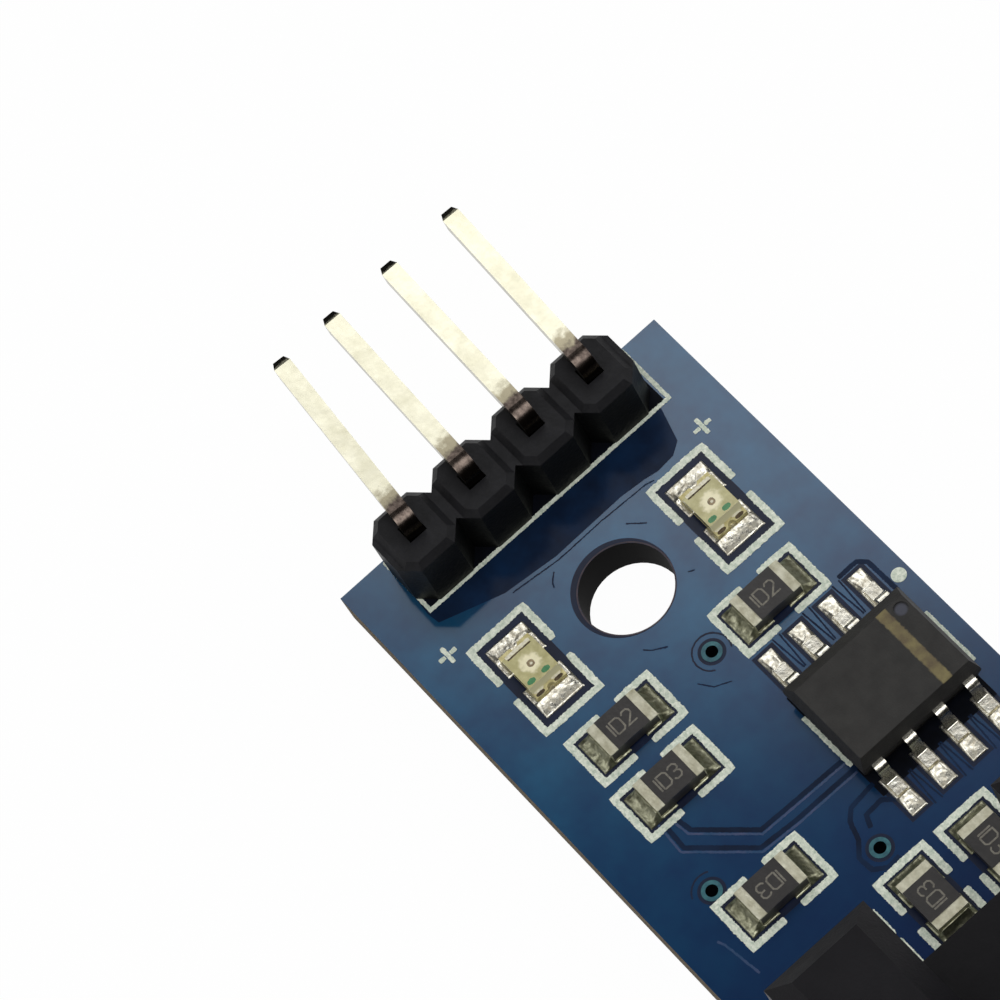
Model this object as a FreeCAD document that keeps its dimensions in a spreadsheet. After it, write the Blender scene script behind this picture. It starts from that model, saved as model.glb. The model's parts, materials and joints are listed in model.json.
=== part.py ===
import FreeCAD, Part
import os

import Sketcher
from FreeCAD import Rotation, Vector

# Infrared speed sensor module: a small circuit board with a four-pin header at one end and a
# slotted light barrier at the other. Millimetres, +Z up, +X from the header to the light barrier.
# The origin is where the axis of the mounting hole meets the underside of the board.

UP = Vector(0, 0, 1)

# Driving dimensions, one named value each.
SIZES = {
    # Board
    "board_length": 32.0,
    "board_width": 13.7,
    "board_thickness": 1.6,
    "hole_inset": 6.66,
    "hole_diameter": 3.2,
    "solder_film": 0.05,
    "tail_length": 1.4,
    # Pin header
    "pin_pitch": 2.54,
    "pin_row_inset": 1.22,
    "cell_depth": 2.54,
    "cell_front": 1.4,
    "cell_waist": 1.3,
    "cell_height": 2.5,
    "cell_bevel": 0.22,
    "cell_neck_width": 0.35,
    "pin_size": 0.64,
    "pin_clearance": 0.03,
    "pin_reach": 7.6,
    "pin_rise": 0.85,
    "pin_inner_bend": 0.12,
    "pin_point_length": 0.3,
    "pin_point_angle": 20.0,
    "pin_hole_diameter": 1.0,
    "pin_solder_diameter": 1.8,
    "pin_solder_neck": 1.06,
    "pin_solder_height": 0.85,
    "pin_turn_1": 4.7,
    "pin_turn_2": 2.0,
    "pin_turn_3": 1.7,
    "pin_turn_4": 2.6,
    # Chips of the common size, 2.0 by 1.25
    "chip_length": 2.0,
    "chip_width": 1.25,
    "chip_pad_inner": 0.33,
    "joint_knee_length": 0.3,
    "joint_knee_height": 0.14,
    # Resistors
    "resistor_height": 0.5,
    "resistor_cap_length": 0.33,
    "cap_wall": 0.04,
    "coat_rise": 0.02,
    "resistor_joint_height": 0.36,
    "resistor_pad_outer": 1.48,
    "resistor_pad_width": 1.44,
    # Light-emitting diodes
    "led_shift": -0.04,
    "power_led_distance": 3.91,
    "switch_led_distance": 3.84,
    "led_base_height": 0.25,
    "led_terminal_length": 0.22,
    "led_wall": 0.03,
    "led_notch_diameter": 0.3,
    "lens_height": 0.32,
    "lens_slope": 0.09,
    "led_joint_height": 0.2,
    "led_pad_outer": 1.62,
    "led_pad_width": 1.6,
    # Comparator in its eight-lead package
    "comparator_x": 8.74,
    "comparator_y": 3.56,
    "package_length": 4.9,
    "package_width": 3.9,
    "package_height": 1.3,
    "package_standoff": 0.12,
    "package_draft": 18.0,
    "package_bevel": 0.35,
    "dimple_diameter": 0.5,
    "dimple_depth": 0.06,
    "dimple_inset": 0.87,
    "dimple_end_inset": 0.51,
    "lead_pitch": 1.27,
    "lead_width": 0.42,
    "lead_thickness": 0.2,
    "lead_reach": 1.05,
    "lead_foot": 0.6,
    "lead_shoulder": 0.2,
    "lead_bend": 0.08,
    "lead_pad_gap": 0.15,
    "lead_pad_reach": 1.83,
    "lead_pad_width": 0.62,
    "lead_joint_height": 0.17,
    # Slotted light barrier
    "barrier_distance": 17.4,
    "barrier_length": 6.2,
    "barrier_height": 10.0,
    "barrier_base": 2.8,
    "slot_width": 5.0,
    "tower_bevel": 0.7,
    "tower_outer_wall": 0.8,
    "window_wall": 0.75,
    "window_width": 1.0,
    "window_height": 2.6,
    "optic_height": 6.6,
    "diode_length": 4.4,
    "diode_depth": 1.4,
    "diode_below_axis": 3.0,
    "diode_above_axis": 1.6,
    "diode_clearance": 0.1,
    "diode_lens_radius": 0.75,
    "diode_lens_gap": 0.1,
    "leg_spacing": 2.54,
    "leg_size": 0.5,
    "leg_hole_diameter": 0.9,
    "leg_solder_diameter": 1.7,
    "leg_solder_neck": 0.8,
    "leg_solder_height": 0.85,
}

# Six resistors: distance from the mounting hole in X and Y, and the turn of the long axis.
RESISTORS = (
    (3.68, -3.13, 90),
    (6.18, -3.29, 90),
    (3.67, 2.97, 90),
    (11.23, -3.35, 90),
    (15.06, 0.0, 0),
    (15.10, 2.51, 0),
)

PIN_COUNT = 4
LEADS_PER_SIDE = 4

doc = FreeCAD.newDocument("speed_sensor")
sheet = doc.addObject("Spreadsheet::Sheet", "sizes")
finished = []


def fill_sheet():
    row = 0
    for name, value in SIZES.items():
        row += 1
        set_cell(row, name, value)
    for number, (along, across, _) in enumerate(RESISTORS, 1):
        set_cell(row + 1, f"resistor_{number}_x", along)
        set_cell(row + 2, f"resistor_{number}_y", across)
        row += 2
    doc.recompute()


def set_cell(row, name, value):
    sheet.set(f"A{row}", name)
    sheet.set(f"B{row}", str(value))
    sheet.setAlias(f"B{row}", name)


def size(formula):
    """Value of a formula written with the sheet's names."""
    return float(sheet.evalExpression(formula))


def new_body(label, along="0", across="0", height="0", turn="0"):
    body = doc.addObject("PartDesign::Body", label)
    body.Label = label
    body.Placement.Rotation = Rotation(UP, 0)
    body.setExpression("Placement.Base.x", along)
    body.setExpression("Placement.Base.y", across)
    body.setExpression("Placement.Base.z", height)
    body.setExpression("Placement.Rotation.Angle", turn)
    finished.append(body)
    return body


def origin_feature(body, role):
    return next(item for item in body.Origin.OriginFeatures if item.Role == role)


def new_sketch(body, name, role, offset):
    sketch = body.newObject("Sketcher::SketchObject", name)
    sketch.AttachmentSupport = [(origin_feature(body, role), "")]
    sketch.MapMode = "FlatFace"
    sketch.setExpression("AttachmentOffset.Base.z", offset)
    return sketch


def hold_point(sketch, geometry, point, name, place):
    """Tie one point of a sketch to two formulas, measured from the sketch's origin."""
    for axis, formula in zip("XY", place):
        row = sketch.addConstraint(
            Sketcher.Constraint("Distance" + axis, -1, 1, geometry, point, size(formula))
        )
        sketch.renameConstraint(row, f"{name}_{axis.lower()}")
        sketch.setExpression(f"Constraints.{name}_{axis.lower()}", formula)


def outline_sketch(body, name, role, corners, offset="0"):
    """Closed outline of straight edges through corners given as formulas."""
    sketch = new_sketch(body, name, role, offset)
    points = [Vector(size(first), size(second), 0) for first, second in corners]
    for start, end in zip(points, points[1:] + points[:1]):
        sketch.addGeometry(Part.LineSegment(start, end), False)
    count = len(points)
    for index in range(count):
        sketch.addConstraint(Sketcher.Constraint("Coincident", index, 2, (index + 1) % count, 1))
    for index, place in enumerate(corners):
        hold_point(sketch, index, 1, f"corner_{index + 1}", place)
    return sketch


def rectangle_sketch(body, name, role, low, high, offset="0"):
    """Rectangle between two opposite corners given as formulas."""
    corners = [(low[0], low[1]), (high[0], low[1]), (high[0], high[1]), (low[0], high[1])]
    return outline_sketch(body, name, role, corners, offset)


def centred_rectangle(body, name, role, width, height, offset="0"):
    low = (f"-({width}) / 2", f"-({height}) / 2")
    high = (f"({width}) / 2", f"({height}) / 2")
    return rectangle_sketch(body, name, role, low, high, offset)


def circles_sketch(body, name, role, centres, diameter, offset="0"):
    """Equal circles about centres given as formulas."""
    sketch = new_sketch(body, name, role, offset)
    for index, place in enumerate(centres):
        centre = Vector(size(place[0]), size(place[1]), 0)
        sketch.addGeometry(Part.Circle(centre, UP, size(diameter) / 2), False)
        hold_point(sketch, index, 3, f"centre_{index + 1}", place)
        row = sketch.addConstraint(Sketcher.Constraint("Diameter", index, size(diameter)))
        sketch.renameConstraint(row, f"diameter_{index + 1}")
        sketch.setExpression(f"Constraints.diameter_{index + 1}", diameter)
    return sketch


def pad(body, sketch, length, name, side="One side", taper="0", down=False):
    feature = body.newObject("PartDesign::Pad", name)
    feature.Profile = sketch
    feature.SideType = side
    feature.Reversed = down
    feature.setExpression("Length", length)
    feature.setExpression("TaperAngle", taper)
    body.Tip = feature
    doc.recompute()
    return feature


def pocket(body, sketch, depth, name, side="One side", up=False):
    """Cut a sketch into the body and make sure that it took material away."""
    before = body.Shape.Volume
    feature = body.newObject("PartDesign::Pocket", name)
    feature.Profile = sketch
    feature.SideType = side
    feature.Reversed = up
    feature.setExpression("Length", depth)
    body.Tip = feature
    doc.recompute()
    if body.Shape.Volume >= before:
        raise RuntimeError(f"{name} cuts nothing")
    return feature


def revolve(body, sketch, name, axis="V_Axis"):
    feature = body.newObject("PartDesign::Revolution", name)
    feature.Profile = sketch
    feature.ReferenceAxis = (sketch, [axis])
    feature.Angle = 360
    body.Tip = feature
    doc.recompute()
    return feature


def repeat(body, originals, name, count, spacing, role="Y_Axis"):
    feature = body.newObject("PartDesign::LinearPattern", name)
    feature.Originals = originals
    feature.Direction = (origin_feature(body, role), [""])
    feature.Mode = "Spacing"
    feature.setExpression("Offset", spacing)
    feature.Occurrences = count
    body.Tip = feature
    doc.recompute()
    return feature


def repeat_grid(body, originals, name, along, across):
    """Copies in X and Y, each given as a count and the formula of its spacing."""
    feature = repeat(body, originals, name, along[0], along[1], "X_Axis")
    feature.Direction2 = (origin_feature(body, "Y_Axis"), [""])
    feature.Mode2 = "Spacing"
    feature.setExpression("Offset2", across[1])
    feature.Occurrences2 = across[0]
    doc.recompute()
    return feature


def mirror(body, originals, name, role="YZ_Plane"):
    feature = body.newObject("PartDesign::Mirrored", name)
    feature.Originals = originals
    feature.MirrorPlane = (origin_feature(body, role), [""])
    body.Tip = feature
    doc.recompute()
    return feature


def dress(body, kind, base, names, name, amount):
    """Chamfer or fillet the named edges or faces of a feature."""
    feature = body.newObject("PartDesign::" + kind, name)
    feature.Base = (base, names)
    feature.setExpression("Size" if kind == "Chamfer" else "Radius", amount)
    body.Tip = feature
    doc.recompute()
    return feature


def top_faces(feature, level):
    """Names of the flat faces that look up at one height."""
    names = []
    for number, face in enumerate(feature.Shape.Faces, 1):
        flat = face.BoundBox.ZLength < 1e-6
        if flat and abs(face.BoundBox.ZMax - level) < 1e-6:
            names.append(f"Face{number}")
    return names


def nearest_edge(feature, point):
    """Name of the straight edge whose middle lies closest to a point."""
    edges = feature.Shape.Edges
    middles = [edge.CenterOfMass.distanceToPoint(point) for edge in edges]
    return f"Edge{middles.index(min(middles)) + 1}"


def pin_place(number):
    """Formulas for the axis of a header pin, counted from the -Y side."""
    along = "sizes.pin_row_inset - sizes.hole_inset"
    steps = number - (PIN_COUNT + 1) / 2
    return along, f"{steps} * sizes.pin_pitch"


BARRIER_MIDDLE = "(sizes.barrier_distance + sizes.barrier_length / 2)"
CAVITY_FRONT = "(sizes.slot_width / 2 + sizes.window_wall)"
DIODE_FRONT = f"({CAVITY_FRONT} + sizes.diode_lens_gap + sizes.diode_lens_radius)"
DIODE_MIDDLE = f"({DIODE_FRONT} + sizes.diode_depth / 2)"
CAVITY_BACK = f"({DIODE_FRONT} + sizes.diode_depth + sizes.diode_clearance)"


def leg_places():
    """Formulas for the four legs of the light barrier, emitter side first."""
    places = []
    for side in ("-", ""):
        for end in ("-", "+"):
            along = f"{BARRIER_MIDDLE} {end} sizes.leg_spacing / 2"
            places.append((along, f"{side}{DIODE_MIDDLE}"))
    return places


def make_board():
    board = new_body("pcb")
    half = "sizes.board_width / 2"
    edge = rectangle_sketch(
        board,
        "board_outline",
        "XY_Plane",
        ("-sizes.hole_inset", f"-{half}"),
        ("sizes.board_length - sizes.hole_inset", half),
    )
    pad(board, edge, "sizes.board_thickness", "laminate")
    mounting = circles_sketch(
        board, "mounting_circle", "XY_Plane", [("0", "0")], "sizes.hole_diameter"
    )
    pocket(board, mounting, "sizes.board_thickness", "mounting_hole", up=True)
    pins = [pin_place(number) for number in range(1, PIN_COUNT + 1)]
    drilled = circles_sketch(
        board, "pin_circles", "XY_Plane", pins, "sizes.pin_hole_diameter"
    )
    pocket(board, drilled, "sizes.board_thickness", "pin_holes", up=True)
    legs = circles_sketch(
        board, "leg_circles", "XY_Plane", leg_places(), "sizes.leg_hole_diameter"
    )
    pocket(board, legs, "sizes.board_thickness", "leg_holes", up=True)


def eight_corners(front, side):
    """Corners of an eight-sided outline from the two that lie in its first quarter."""
    corners = []
    for x_sign, y_sign in (("", ""), ("-", ""), ("-", "-"), ("", "-")):
        points = (front, side) if x_sign == y_sign else (side, front)
        corners += [(x_sign + first, y_sign + second) for first, second in points]
    return corners


def make_header_housing():
    """Eight-sided cells in a row, joined at their waists, each with a raised bevelled crown."""
    along, across = pin_place(1)
    housing = new_body("header_housing", along, across, "sizes.board_thickness")
    depth = "sizes.cell_depth / 2"
    waist = "sizes.cell_waist / 2"
    front = "sizes.cell_front / 2"
    side = "sizes.pin_pitch / 2"
    shoulder = "(sizes.cell_height - sizes.cell_bevel)"
    corners = eight_corners((depth, front), (waist, side))
    cell = outline_sketch(housing, "cell_outline", "XY_Plane", corners)
    column = pad(housing, cell, shoulder, "cell")
    # The crown stops half a neck short of the next cell, on the same slanted sides.
    crown_side = "((sizes.pin_pitch - sizes.cell_neck_width) / 2)"
    share = f"(({crown_side} - {front}) / ({side} - {front}))"
    crown_waist = f"({depth} - ({depth} - {waist}) * {share})"
    corners = eight_corners((depth, front), (crown_waist, crown_side))
    raised = outline_sketch(housing, "crown_outline", "XY_Plane", corners, shoulder)
    crown = pad(housing, raised, "sizes.cell_bevel", "crown", taper="-45")
    repeat(housing, [column, crown], "cells", PIN_COUNT, "sizes.pin_pitch")
    opening = "sizes.pin_size + 2 * sizes.pin_clearance"
    square = centred_rectangle(housing, "pin_square", "XY_Plane", opening, opening)
    hole = pocket(housing, square, "sizes.cell_height", "pin_passage", up=True)
    repeat(housing, [hole], "pin_passages", PIN_COUNT, "sizes.pin_pitch")


def make_pin(number):
    """Square pin through the board, bent just above the plastic to lie over the board's end."""
    along, across = pin_place(number)
    pin = new_body(f"header_pin_{number}", along, across, turn=f"-sizes.pin_turn_{number}")
    half = "sizes.pin_size / 2"
    top = "(sizes.board_thickness + sizes.cell_height + sizes.pin_rise)"
    under = f"({top} - sizes.pin_size)"
    foot = "-(sizes.tail_length - sizes.pin_point_length)"
    end = "-(sizes.pin_reach - sizes.pin_point_length)"
    corners = [
        (f"-{half}", foot),
        (half, foot),
        (half, top),
        (end, top),
        (end, under),
        (f"-{half}", under),
    ]
    profile = outline_sketch(pin, "pin_profile", "XZ_Plane", corners)
    bar = pad(pin, profile, "sizes.pin_size", "bar", side="Symmetric")
    inner = nearest_edge(bar, Vector(size(f"-{half}"), 0, size(under)))
    bent = dress(pin, "Fillet", bar, [inner], "inner_bend", "sizes.pin_inner_bend")
    outer = nearest_edge(bent, Vector(size(half), 0, size(top)))
    dress(pin, "Fillet", bent, [outer], "outer_bend", "sizes.pin_inner_bend + sizes.pin_size")
    wide = "sizes.pin_size"
    tail = centred_rectangle(pin, "tail_square", "XY_Plane", wide, wide, foot)
    draft = "-sizes.pin_point_angle"
    pad(pin, tail, "sizes.pin_point_length", "tail_point", taper=draft, down=True)
    tip = rectangle_sketch(
        pin,
        "tip_square",
        "YZ_Plane",
        (f"-{half}", under),
        (half, top),
        end,
    )
    pad(pin, tip, "sizes.pin_point_length", "tip_point", taper=draft, down=True)


def make_through_joint(label, place, names, opening):
    """Solder that fills one of the board's holes and rises as a cone round the tail below."""
    hole, foot, neck, height = (f"sizes.{name}" for name in names)
    joints = new_body(label, place[0], place[1])
    corners = [
        ("0", "sizes.board_thickness"),
        (f"{hole} / 2", "sizes.board_thickness"),
        (f"{hole} / 2", "0"),
        (f"{foot} / 2", "0"),
        (f"({foot} + 2 * {neck}) / 6", f"-{height} / 2"),
        (f"{neck} / 2", f"-{height}"),
        ("0", f"-{height}"),
    ]
    profile = outline_sketch(joints, "joint_profile", "XZ_Plane", corners)
    cone = revolve(joints, profile, "cone")
    square = centred_rectangle(
        joints, "tail_square", "XY_Plane", opening, opening, "sizes.board_thickness"
    )
    depth = f"sizes.board_thickness + {height}"
    passage = pocket(joints, square, depth, "tail_passage")
    return joints, [cone, passage]


def make_header_joints():
    joints, features = make_through_joint(
        "header_solder",
        pin_place(1),
        ("pin_hole_diameter", "pin_solder_diameter", "pin_solder_neck", "pin_solder_height"),
        "sizes.pin_size + 2 * sizes.pin_clearance",
    )
    repeat(joints, features, "joint_row", PIN_COUNT, "sizes.pin_pitch")


def make_barrier_joints():
    joints, features = make_through_joint(
        "sensor_solder",
        leg_places()[0],
        ("leg_hole_diameter", "leg_solder_diameter", "leg_solder_neck", "leg_solder_height"),
        "sizes.leg_size",
    )
    along = (2, "sizes.leg_spacing")
    across = (2, f"2 * {DIODE_MIDDLE}")
    repeat_grid(joints, features, "joint_grid", along, across)


def chip_place(along, across, turn):
    return {
        "along": along,
        "across": across,
        "height": "sizes.board_thickness",
        "turn": str(turn),
    }


def make_wrapped_ends(label, place, lift, height, length, wall, notch=None):
    """Metal ends of a chip: each covers the top, the end face and the underside."""
    ends = new_body(label, **place)
    reach = "sizes.chip_length / 2"
    inner = f"({reach} - {length})"
    corners = [
        (inner, lift),
        (reach, lift),
        (reach, f"{lift} + {height}"),
        (inner, f"{lift} + {height}"),
        (inner, f"{lift} + {height} - {wall}"),
        (f"{reach} - {wall}", f"{lift} + {height} - {wall}"),
        (f"{reach} - {wall}", f"{lift} + {wall}"),
        (inner, f"{lift} + {wall}"),
    ]
    profile = outline_sketch(ends, "end_profile", "XZ_Plane", corners)
    features = [pad(ends, profile, "sizes.chip_width", "end_wrap", side="Symmetric")]
    if notch:
        circle = circles_sketch(ends, "notch_circle", "XY_Plane", [(reach, "0")], notch)
        features.append(pocket(ends, circle, f"{lift} + {height}", "end_notch", up=True))
    mirror(ends, features, "other_end")


def joint_corners(inner, face, outer, rise):
    """Solder on one pad: a film under the part and a slope from its end down to the pad's end."""
    return [
        (inner, "0"),
        (outer, "0"),
        (outer, "sizes.solder_film"),
        (f"{face} + sizes.joint_knee_length", "sizes.joint_knee_height"),
        (face, rise),
        (face, "sizes.solder_film"),
        (inner, "sizes.solder_film"),
    ]


def make_chip_joints(label, place, kind):
    """Solder on both pads of a chip, whose kind names the sizes of the pads."""
    joints = new_body(label, **place)
    corners = joint_corners(
        "sizes.chip_pad_inner",
        "sizes.chip_length / 2",
        f"sizes.{kind}_pad_outer",
        f"sizes.{kind}_joint_height",
    )
    profile = outline_sketch(joints, "joint_profile", "XZ_Plane", corners)
    slope = pad(joints, profile, f"sizes.{kind}_pad_width", "joint", side="Symmetric")
    mirror(joints, [slope], "other_joint")


def make_resistor(number, turn):
    name = f"resistor_{number}"
    place = chip_place(f"sizes.{name}_x", f"sizes.{name}_y", turn)
    lift = "sizes.solder_film"
    core = new_body(f"{name}_body", **place)
    reach = "(sizes.chip_length / 2 - sizes.cap_wall)"
    coat = "(sizes.chip_length / 2 - sizes.resistor_cap_length)"
    low = f"{lift} + sizes.cap_wall"
    high = f"{lift} + sizes.resistor_height - sizes.cap_wall"
    crown = f"{lift} + sizes.resistor_height + sizes.coat_rise"
    corners = [
        (f"-{reach}", low),
        (reach, low),
        (reach, high),
        (coat, high),
        (coat, crown),
        (f"-{coat}", crown),
        (f"-{coat}", high),
        (f"-{reach}", high),
    ]
    profile = outline_sketch(core, "core_profile", "XZ_Plane", corners)
    pad(core, profile, "sizes.chip_width", "core", side="Symmetric")
    make_wrapped_ends(
        f"{name}_caps",
        place,
        lift,
        "sizes.resistor_height",
        "sizes.resistor_cap_length",
        "sizes.cap_wall",
    )
    make_chip_joints(f"{name}_solder", place, "resistor")


def make_led(name, side):
    """Chip diode: notched base, plated ends and a clear moulded lens with sloped ends."""
    place = chip_place("sizes.led_shift", f"{side}sizes.{name}_distance", 0)
    lift = "sizes.solder_film"
    base = new_body(f"{name}_base", **place)
    plate = centred_rectangle(
        base,
        "base_outline",
        "XY_Plane",
        "sizes.chip_length - 2 * sizes.led_wall",
        "sizes.chip_width",
        f"{lift} + sizes.led_wall",
    )
    thickness = "sizes.led_base_height - 2 * sizes.led_wall"
    pad(base, plate, thickness, "plate")
    ends = [("-sizes.chip_length / 2", "0"), ("sizes.chip_length / 2", "0")]
    notch = circles_sketch(
        base,
        "notch_circles",
        "XY_Plane",
        ends,
        "sizes.led_notch_diameter",
        f"{lift} + sizes.led_wall",
    )
    pocket(base, notch, thickness, "notches", up=True)
    lens = new_body(f"{name}_lens", **place)
    foot = "(sizes.chip_length / 2 - sizes.led_terminal_length)"
    bottom = f"{lift} + sizes.led_base_height - sizes.led_wall"
    top = f"{bottom} + sizes.lens_height"
    corners = [
        (f"-{foot}", bottom),
        (foot, bottom),
        (f"{foot} - sizes.lens_slope", top),
        (f"-({foot} - sizes.lens_slope)", top),
    ]
    profile = outline_sketch(lens, "lens_profile", "XZ_Plane", corners)
    pad(lens, profile, "sizes.chip_width", "lens_block", side="Symmetric")
    make_wrapped_ends(
        f"{name}_terminals",
        place,
        lift,
        "sizes.led_base_height",
        "sizes.led_terminal_length",
        "sizes.led_wall",
        "sizes.led_notch_diameter",
    )
    make_chip_joints(f"{name}_solder", place, "led")


LEAD_LEVEL = "(sizes.solder_film + sizes.package_standoff + sizes.package_height / 2)"
LEAD_TOE = "(sizes.package_width / 2 + sizes.lead_reach)"
LEAD_HEEL = f"({LEAD_TOE} - sizes.lead_foot)"


def make_package():
    """Moulded body: drafted halves above and below a band as thick as the leads."""
    package = new_body(
        "comparator_body", "sizes.comparator_x", "sizes.comparator_y", "sizes.board_thickness"
    )
    half = "(sizes.package_height - sizes.lead_thickness) / 2"
    wide = "sizes.package_width"
    long = "sizes.package_length"
    low = f"{LEAD_LEVEL} - sizes.lead_thickness / 2"
    high = f"{LEAD_LEVEL} + sizes.lead_thickness / 2"
    parting = centred_rectangle(package, "band_outline", "XY_Plane", wide, long, low)
    pad(package, parting, "sizes.lead_thickness", "band")
    draft = "-sizes.package_draft"
    lower = centred_rectangle(package, "lower_outline", "XY_Plane", wide, long, low)
    pad(package, lower, half, "lower_half", taper=draft, down=True)
    upper = centred_rectangle(package, "upper_outline", "XY_Plane", wide, long, high)
    crown = pad(package, upper, half, "upper_half", taper=draft)
    roof = size(f"{high} + {half}")
    edge = nearest_edge(crown, Vector(size("-sizes.package_width / 2"), 0, roof))
    dress(package, "Chamfer", crown, [edge], "pin_one_bevel", "sizes.package_bevel")
    corner = (
        "-(sizes.package_width / 2 - sizes.dimple_inset)",
        "sizes.package_length / 2 - sizes.dimple_end_inset",
    )
    top = f"{high} + {half}"
    ring = circles_sketch(
        package, "dimple_circle", "XY_Plane", [corner], "sizes.dimple_diameter", top
    )
    pocket(package, ring, "sizes.dimple_depth", "dimple")


def make_lead(number):
    """Gull-wing lead: shoulder, slanted leg and foot, one thickness throughout."""
    left = number <= LEADS_PER_SIDE
    index = number if left else number - LEADS_PER_SIDE
    steps = (LEADS_PER_SIDE + 1) / 2 - index
    if not left:
        steps = -steps
    lead = new_body(
        f"comparator_lead_{number}",
        "sizes.comparator_x",
        f"sizes.comparator_y + {steps} * sizes.lead_pitch",
        "sizes.board_thickness",
        "180" if left else "0",
    )
    half = "sizes.lead_thickness / 2"
    level = LEAD_LEVEL
    sole = "(sizes.solder_film + sizes.lead_thickness / 2)"
    root = "sizes.package_width / 2"
    bend = "(sizes.package_width / 2 + sizes.lead_shoulder)"
    run = f"({LEAD_HEEL} - {bend})"
    drop = f"({level} - {sole})"
    slant = f"sqrt({run} * {run} + {drop} * {drop})"
    miter = f"(sizes.lead_thickness / 2 * ({slant} - {run}) / {drop})"
    corners = [
        (root, f"{level} + {half}"),
        (f"{bend} + {miter}", f"{level} + {half}"),
        (f"{LEAD_HEEL} + {miter}", f"{sole} + {half}"),
        (LEAD_TOE, f"{sole} + {half}"),
        (LEAD_TOE, f"{sole} - {half}"),
        (f"{LEAD_HEEL} - {miter}", f"{sole} - {half}"),
        (f"{bend} - {miter}", f"{level} - {half}"),
        (root, f"{level} - {half}"),
    ]
    profile = outline_sketch(lead, "lead_profile", "XZ_Plane", corners)
    strip = pad(lead, profile, "sizes.lead_width", "strip", side="Symmetric")

    def edge_at(corner, feature):
        along, height = corners[corner]
        return nearest_edge(feature, Vector(size(along), 0, size(height)))

    inner = [edge_at(2, strip), edge_at(6, strip)]
    folded = dress(lead, "Fillet", strip, inner, "inner_bends", "sizes.lead_bend")
    outer = [edge_at(1, folded), edge_at(5, folded)]
    dress(lead, "Fillet", folded, outer, "outer_bends", "sizes.lead_bend + sizes.lead_thickness")


def make_lead_joints():
    """Solder on the eight pads of the comparator."""
    first = f"sizes.comparator_y - {(LEADS_PER_SIDE - 1) / 2} * sizes.lead_pitch"
    joints = new_body(
        "comparator_solder", "sizes.comparator_x", first, "sizes.board_thickness"
    )
    edge = "(sizes.package_width / 2 + {})"
    corners = joint_corners(
        edge.format("sizes.lead_pad_gap"),
        LEAD_TOE,
        edge.format("sizes.lead_pad_reach"),
        "sizes.lead_joint_height",
    )
    profile = outline_sketch(joints, "joint_profile", "XZ_Plane", corners)
    slope = pad(joints, profile, "sizes.lead_pad_width", "joint", side="Symmetric")
    repeat(joints, [slope], "joint_row", LEADS_PER_SIDE, "sizes.lead_pitch")
    opposite = outline_sketch(
        joints, "opposite_profile", "XZ_Plane", [(f"-({x})", z) for x, z in corners]
    )
    far = pad(joints, opposite, "sizes.lead_pad_width", "opposite_joint", side="Symmetric")
    repeat(joints, [far], "opposite_row", LEADS_PER_SIDE, "sizes.lead_pitch")


def make_barrier_housing():
    """U-shaped housing: two towers on a low base, bevelled tops, a window in each inner wall."""
    housing = new_body("sensor_housing", BARRIER_MIDDLE, "0", "sizes.board_thickness")
    wide = f"({CAVITY_BACK} + sizes.tower_outer_wall)"
    slot = "sizes.slot_width / 2"
    corners = [
        (f"-{wide}", "0"),
        (wide, "0"),
        (wide, "sizes.barrier_height"),
        (slot, "sizes.barrier_height"),
        (slot, "sizes.barrier_base"),
        (f"-{slot}", "sizes.barrier_base"),
        (f"-{slot}", "sizes.barrier_height"),
        (f"-{wide}", "sizes.barrier_height"),
    ]
    profile = outline_sketch(housing, "u_profile", "YZ_Plane", corners)
    block = pad(housing, profile, "sizes.barrier_length", "u_block", side="Symmetric")
    tops = top_faces(block, size("sizes.barrier_height"))
    dress(housing, "Chamfer", block, tops, "tower_bevels", "sizes.tower_bevel")
    long = "(sizes.diode_length / 2 + sizes.diode_clearance)"
    room = rectangle_sketch(
        housing,
        "cavity_outline",
        "XY_Plane",
        (f"-{long}", CAVITY_FRONT),
        (long, CAVITY_BACK),
    )
    ceiling = "sizes.optic_height + sizes.diode_above_axis + sizes.diode_clearance"
    cavity = pocket(housing, room, ceiling, "cavity", up=True)
    mirror(housing, [cavity], "other_cavity", "XZ_Plane")
    window = rectangle_sketch(
        housing,
        "window_outline",
        "XZ_Plane",
        ("-sizes.window_width / 2", "sizes.optic_height - sizes.window_height / 2"),
        ("sizes.window_width / 2", "sizes.optic_height + sizes.window_height / 2"),
    )
    pocket(housing, window, f"2 * {CAVITY_FRONT}", "windows", side="Symmetric")


def make_diode(label, facing):
    """Side-looking diode: flat moulded body with a domed lens towards the slot."""
    side = "-" if facing > 0 else ""
    diode = new_body(
        label,
        BARRIER_MIDDLE,
        f"{side}{DIODE_MIDDLE}",
        "sizes.board_thickness + sizes.optic_height",
        "0" if facing > 0 else "180",
    )
    outline = rectangle_sketch(
        diode,
        "body_outline",
        "XZ_Plane",
        ("-sizes.diode_length / 2", "-sizes.diode_below_axis"),
        ("sizes.diode_length / 2", "sizes.diode_above_axis"),
    )
    pad(diode, outline, "sizes.diode_depth", "moulding", side="Symmetric")
    dome = diode.newObject("PartDesign::AdditiveSphere", "dome")
    dome.AttachmentSupport = [(origin_feature(diode, "XZ_Plane"), "")]
    dome.MapMode = "FlatFace"
    dome.setExpression("Radius", "sizes.diode_lens_radius")
    dome.setExpression("AttachmentOffset.Base.z", "-sizes.diode_depth / 2")
    diode.Tip = dome
    doc.recompute()


def make_leg(label, place):
    """Straight leg from the underside of a diode to its trimmed end below the board."""
    along, across = place
    leg = new_body(label, along, across, "-sizes.tail_length")
    wide = "sizes.leg_size"
    section = centred_rectangle(leg, "leg_square", "XY_Plane", wide, wide)
    seat = "sizes.board_thickness + sizes.optic_height - sizes.diode_below_axis"
    pad(leg, section, f"sizes.tail_length + {seat}", "leg")


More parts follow.
